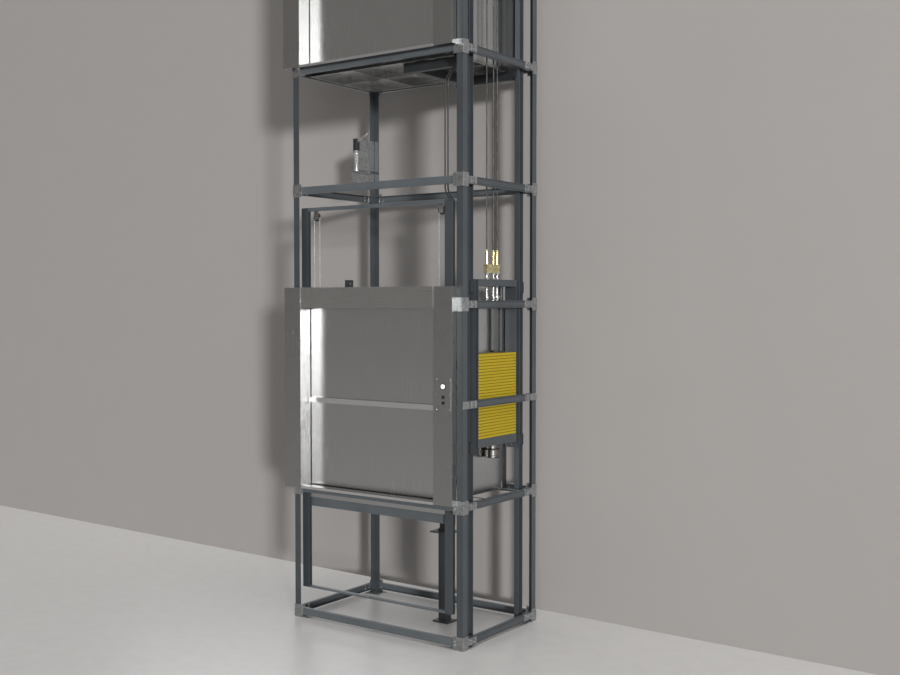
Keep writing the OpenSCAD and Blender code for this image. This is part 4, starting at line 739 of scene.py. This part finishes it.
# the buttons, with a flange behind the plate and a softly domed end
capProfile = [(14, 0), (14, 3), (12, 3), (12, 11.2), (11.3, 12), (9.4, 12.35), (5, 12.5),
              (0.01, 12.5)]
for name, node, body, rise in (
        ("lowerButtonCap", "lower_call_button", "lower_button", station["rises"][0]),
        ("upperButtonCap", "upper_call_button", "upper_button", station["rises"][1])):
    cap = turnedParts(name, capProfile,
                      [spot(station["x"], station["capBaseY"], station["buttonZ"] + rise)],
                      (0, -1, 0), "buttonCap", 40)
    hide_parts(node)
    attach(cap, body)

# a round plug in the left jamb of each landing
lowDomeProfile = [(6, 0), (6, 0.8), (5, 1.6), (2.5, 2), (0.01, 2.1)]
jambPlug = {"x": 28, "faceY": -40, "z": 1600}
plugs = turnedParts("jambPlugs", lowDomeProfile,
                    [spot(jambPlug["x"], jambPlug["faceY"], jambPlug["z"] + rise)
                     for rise in station["rises"]], (0, -1, 0), "platedZinc", 28)
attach(plugs, "tower")

# screws in the right jamb's outer return
returnScrew = {"x": 1110, "y": -25, "z": (1052, 1304, 1565), "width": 0.6}
returnScrews = turnedParts("jambScrews", [(r * returnScrew["width"], h) for r, h in lowDomeProfile],
                           [spot(returnScrew["x"], returnScrew["y"], z + rise)
                            for z in returnScrew["z"] for rise in station["rises"]],
                           (1, 0, 0), "blackCoat", 20)
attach(returnScrews, "tower")

# the bolt in the side of each door lock
lockBolt = {"x": 401, "y": 11, "z": 1867, "width": 0.75, "height": 1.3}
lockBolts = turnedParts("lockBolts",
                        [(r * lockBolt["width"], h * lockBolt["height"])
                         for r, h in lowDomeProfile],
                        [spot(lockBolt["x"], lockBolt["y"], lockBolt["z"] + rise)
                         for rise in station["rises"]],
                        (1, 0, 0), "platedZinc", 20)
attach(lockBolts, "tower")

# the lintel's folded edges along its joints with the jambs: thin proud strips that catch the light
# on their rounded edges, made in the brighter sheet as a painted highlight
seam = {"x": (82, 992), "width": 1.4, "faceY": -40, "proud": 0.35, "deep": 1, "low": 1738,
        "high": 1848, "rounding": 0.3}
seamStrips = []
for rise in station["rises"]:
    for x in seam["x"]:
        seamStrips.append(
            ((x - seam["width"] / 2, seam["faceY"] - seam["proud"], seam["low"] + rise),
             (x + seam["width"] / 2, seam["faceY"] + seam["deep"], seam["high"] + rise)))
seams = roundedBlocks("lintelSeams", seamStrips, seam["rounding"], "brightSheet")
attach(seams, "tower")
print("call stations made")

# the limit switch, over the bare block of its mounting: a chromed barrel and a black head
switch = {"x": 20, "y": 519, "barrelZ": 2546, "head": ((8, 502.6, 2665), (32.4, 535.4, 2735.4)),
          "headRounding": 2}
barrel = turnedParts("switchBarrel",
                     [(12.4, 0), (12.4, 14), (11.9, 16), (12.4, 18), (12.4, 96), (13.6, 98),
                      (13.6, 108), (12.4, 110), (12.4, 119)],
                     [spot(switch["x"], switch["y"], switch["barrelZ"])], (0, 0, 1), "chrome",
                     40)
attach(barrel, "tower")
head = roundedBlocks("switchHead", [switch["head"]], switch["headRounding"], "nylon")
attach(head, "tower")
print("limit switch made")

# cooling fins round the motor, apart from where its terminal box sits, in degrees
motor = {"y": 549.5, "z": 4898, "x": (528, 800), "radius": 71.5, "fin": 8, "thick": 3, "tip": 0.6,
         "count": 40, "terminalBox": (55, 125), "grilleX": 472}
finVertices, finFaces = [], []
for k in range(motor["count"]):
    turn = 2 * math.pi * k / motor["count"]
    if motor["terminalBox"][0] < math.degrees(turn) < motor["terminalBox"][1]:
        continue
    out = Vector((0, math.cos(turn), math.sin(turn)))
    side = Vector((0, -math.sin(turn), math.cos(turn))) * motor["thick"] / 2000
    first = len(finVertices)
    for x in motor["x"]:
        for reach, taper in ((motor["radius"], 1), (motor["radius"] + motor["fin"], motor["tip"])):
            for way in (-1, 1):
                finVertices.append(spot(x, motor["y"], motor["z"]) + out * reach / 1000
                                   + side * way * taper)
    finFaces += [tuple(first + corner for corner in face) for face in (
        (0, 1, 3, 2), (4, 6, 7, 5), (0, 2, 6, 4), (1, 5, 7, 3), (2, 3, 7, 6), (0, 4, 5, 1))]
fins = meshPiece("motorFins", finVertices, finFaces, "driveEnamel", False)
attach(fins, "tower")

# the grille over the motor's fan
cowl = turnedParts("fanGrille",
                   [(60, 0), (60, 2), (54, 2), (53, 0.5), (46, 0.5), (45, 2), (39, 2), (38, 0.5),
                    (31, 0.5), (30, 2), (24, 2), (23, 0.5), (16, 0.5), (15, 2.5), (0.01, 2.5)],
                   [spot(motor["grilleX"], motor["y"], motor["z"])], (-1, 0, 0), "blackCoat",
                   48)
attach(cowl, "tower")

# six-sided heads of the screws in the gearbox lid
gearboxLid = {"x": (836, 994), "y": (492, 549.5, 607), "z": 5030}
lidScrews = turnedParts("gearboxScrews", [(7, 0), (7, 4), (5.6, 5), (0.01, 5)],
                        [spot(x, y, gearboxLid["z"]) for x in gearboxLid["x"]
                         for y in gearboxLid["y"]],
                        (0, 0, 1), "platedZinc", 6)
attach(lidScrews, "tower")

# the quarter-turn lock of the cabinet door
doorLock = {"x": 380, "y": 58, "z": 4961}
cabinetLock = turnedParts("cabinetLock",
                          [(13, 0), (13, 2), (11, 4), (8, 4.4), (7.6, 3.2), (0.01, 3.2)],
                          [spot(doorLock["x"], doorLock["y"], doorLock["z"])], (0, -1, 0),
                          "platedZinc", 32)
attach(cabinetLock, "cabinet_leaf")
print("drive made")

# the studio, in metres
stage = {"floor": "#c2c0be", "floorShade": "#bebcba", "floorBounce": "#8e8c8a", "speckleMm": 83.33,
         "wall": "#a7a3a0", "wallShade": "#a5a19e", "trowelMm": 333.3,
         "backdrop": "#928f8c", "ambient": "#f4f6fa", "ambientStrength": 0.11,
         "size": 60, "level": -0.0004, "wallLeft": (-15, 1.039), "wallRight": (13, 0.199),
         "wallTop": 9}


def stagePlane(name, corners):
    mesh = bpy.data.meshes.new(name)
    mesh.from_pydata(corners, [], [(0, 1, 2, 3)])
    plane = bpy.data.objects.new(name, mesh)
    bpy.context.scene.collection.objects.link(plane)
    return plane


edge, level = stage["size"] / 2, stage["level"]
floor = stagePlane("studioFloor", [(-edge, -edge, level), (edge, -edge, level),
                                   (edge, edge, level), (-edge, edge, level)])
# sealed concrete: pale and even, with a soft gloss near what stands on it
material, tree, surface, place = startMaterial("sealedConcrete",
                                               {"Roughness": 0.3, "Specular IOR Level": 0.4})
speckle = addNode(tree, "ShaderNodeTexNoise", {"Scale": 1000 / stage["speckleMm"], "Detail": 5},
                  {"Vector": place})
tint = addNode(tree, "ShaderNodeValToRGB",
               {"stops": [(0.35, linearColour(stage["floorShade"])),
                          (0.65, linearColour(stage["floor"]))]},
               {"Fac": speckle.outputs["Fac"]})
# its bounce is dimmer than it looks, so that it doesn't light the wall and the lift from below
paths = addNode(tree, "ShaderNodeLightPath")
bounce = addNode(tree, "ShaderNodeMixRGB", {"Color2": linearColour(stage["floorBounce"])},
                 {"Fac": paths.outputs["Is Diffuse Ray"], "Color1": tint.outputs["Color"]})
tree.links.new(bounce.outputs["Color"], surface.inputs["Base Color"])
floor.data.materials.append(material)

# painted plaster: a matt wall behind the lift. Only its front shows and takes the lift's shadow,
# and it lets the lamps behind it through
(leftX, leftY), (rightX, rightY) = stage["wallLeft"], stage["wallRight"]
wall = stagePlane("studioWall", [(leftX, leftY, level), (rightX, rightY, level),
                                 (rightX, rightY, stage["wallTop"]),
                                 (leftX, leftY, stage["wallTop"])])
material, tree, surface, place = startMaterial("paintedPlaster",
                                               {"Roughness": 0.9, "Specular IOR Level": 0.1})
trowel = addNode(tree, "ShaderNodeTexNoise", {"Scale": 1000 / stage["trowelMm"], "Detail": 4},
                 {"Vector": place})
tint = addNode(tree, "ShaderNodeMixRGB",
               {"Color1": linearColour(stage["wall"]), "Color2": linearColour(stage["wallShade"])},
               {"Fac": trowel.outputs["Fac"]})
tree.links.new(tint.outputs["Color"], surface.inputs["Base Color"])
paths = addNode(tree, "ShaderNodeLightPath")
facing = addNode(tree, "ShaderNodeNewGeometry")
front = addNode(tree, "ShaderNodeMath", {"operation": "SUBTRACT", 0: 1.0},
                {1: facing.outputs["Backfacing"]})
seen = addNode(tree, "ShaderNodeMath", {"operation": "MAXIMUM"},
               {0: paths.outputs["Is Camera Ray"], 1: paths.outputs["Is Diffuse Ray"]})
solid = addNode(tree, "ShaderNodeMath", {"operation": "MULTIPLY"},
                {0: front.outputs["Value"], 1: seen.outputs["Value"]})
clear = addNode(tree, "ShaderNodeBsdfTransparent")
mix = addNode(tree, "ShaderNodeMixShader", None,
              {0: solid.outputs["Value"], 1: clear.outputs["BSDF"], 2: surface.outputs["BSDF"]})
output = [node for node in tree.nodes if node.bl_idname == "ShaderNodeOutputMaterial"][0]
tree.links.new(mix.outputs["Shader"], output.inputs["Surface"])
wall.data.materials.append(material)

world = bpy.data.worlds.new("studio")
bpy.context.scene.world = world
world.use_nodes = True
tree = world.node_tree
tree.nodes.clear()
paths = addNode(tree, "ShaderNodeLightPath")
seen = addNode(tree, "ShaderNodeMath", {"operation": "MAXIMUM"},
               {0: paths.outputs["Is Camera Ray"], 1: paths.outputs["Is Glossy Ray"]})
ambient = addNode(tree, "ShaderNodeBackground",
                  {"Color": linearColour(stage["ambient"]), "Strength": stage["ambientStrength"]})
backdrop = addNode(tree, "ShaderNodeBackground",
                   {"Color": linearColour(stage["backdrop"]), "Strength": 1})
mix = addNode(tree, "ShaderNodeMixShader", None,
              {0: seen.outputs["Value"], 1: ambient.outputs["Background"],
               2: backdrop.outputs["Background"]})
addNode(tree, "ShaderNodeOutputWorld", None, {"Surface": mix.outputs["Shader"]})

# far lamps, even over the whole wall: degrees to the right of straight ahead and above the floor,
# watts per square metre, and how wide they look in degrees
farLamps = {"keyRight": (49, 4.5, 2.4, 5), "skylight": (30, 80, 1.8, 50)}
farAway = 12  # metres, for the lamp's mark alone: its light comes from the direction
for name, (right, above, watts, spread) in farLamps.items():
    right, above = math.radians(right), math.radians(above)
    toLamp = Vector((math.sin(right) * math.cos(above), -math.cos(right) * math.cos(above),
                     math.sin(above)))
    lamp = bpy.data.lights.new(name, "SUN")
    lamp.energy = watts
    lamp.angle = math.radians(spread)
    holder = bpy.data.objects.new(name, lamp)
    holder.location = toLamp * farAway
    holder.rotation_euler = (-toLamp).to_track_quat("-Z", "Y").to_euler()
    bpy.context.scene.collection.objects.link(holder)

# soft boxes: place, aim, width, height, watts
softBoxes = {
    "wideRight": ((5.6, -0.9, 2.9), (0, -0.2, 2.6), 4.6, 5.6, 50),
    "behindCamera": ((4.6, -7.4, 4.4), (0, 0, 3.6), 2.8, 4.6, 130),
    "rimRight": ((3.8, 3.6, 2.8), (0, 0, 2.8), 2.0, 5.0, 10),
    "backLeft": ((-4.6, 3.6, 4.0), (0, 0, 2.6), 3.0, 3.0, 60),
}
for name, (place, aim, width, height, watts) in softBoxes.items():
    lamp = bpy.data.lights.new(name, "AREA")
    lamp.shape = "RECTANGLE"
    lamp.size, lamp.size_y = width, height
    lamp.energy = watts
    holder = bpy.data.objects.new(name, lamp)
    holder.location = place
    holder.rotation_euler = (Vector(aim) - Vector(place)).to_track_quat("-Z", "Y").to_euler()
    bpy.context.scene.collection.objects.link(holder)

# the photograph's own view: metres, degrees and millimetres of lens and sensor
view = {"place": (3.83775, -5.0265, 1.774), "yaw": 35.36, "pitch": -1.83, "lens": 45.53,
        "sensor": 36, "clipEnd": 200}
camera = bpy.data.cameras.new("photoCamera")
camera.lens = view["lens"]
camera.sensor_width = view["sensor"]
camera.sensor_fit = "HORIZONTAL"
camera.clip_end = view["clipEnd"]
eye = bpy.data.objects.new("photoCamera", camera)
eye.location = view["place"]
eye.rotation_euler = (math.radians(90 + view["pitch"]), 0, math.radians(view["yaw"]))
bpy.context.scene.collection.objects.link(eye)
bpy.context.scene.camera = eye
bpy.context.scene.view_settings.view_transform = "Standard"
print("studio made")
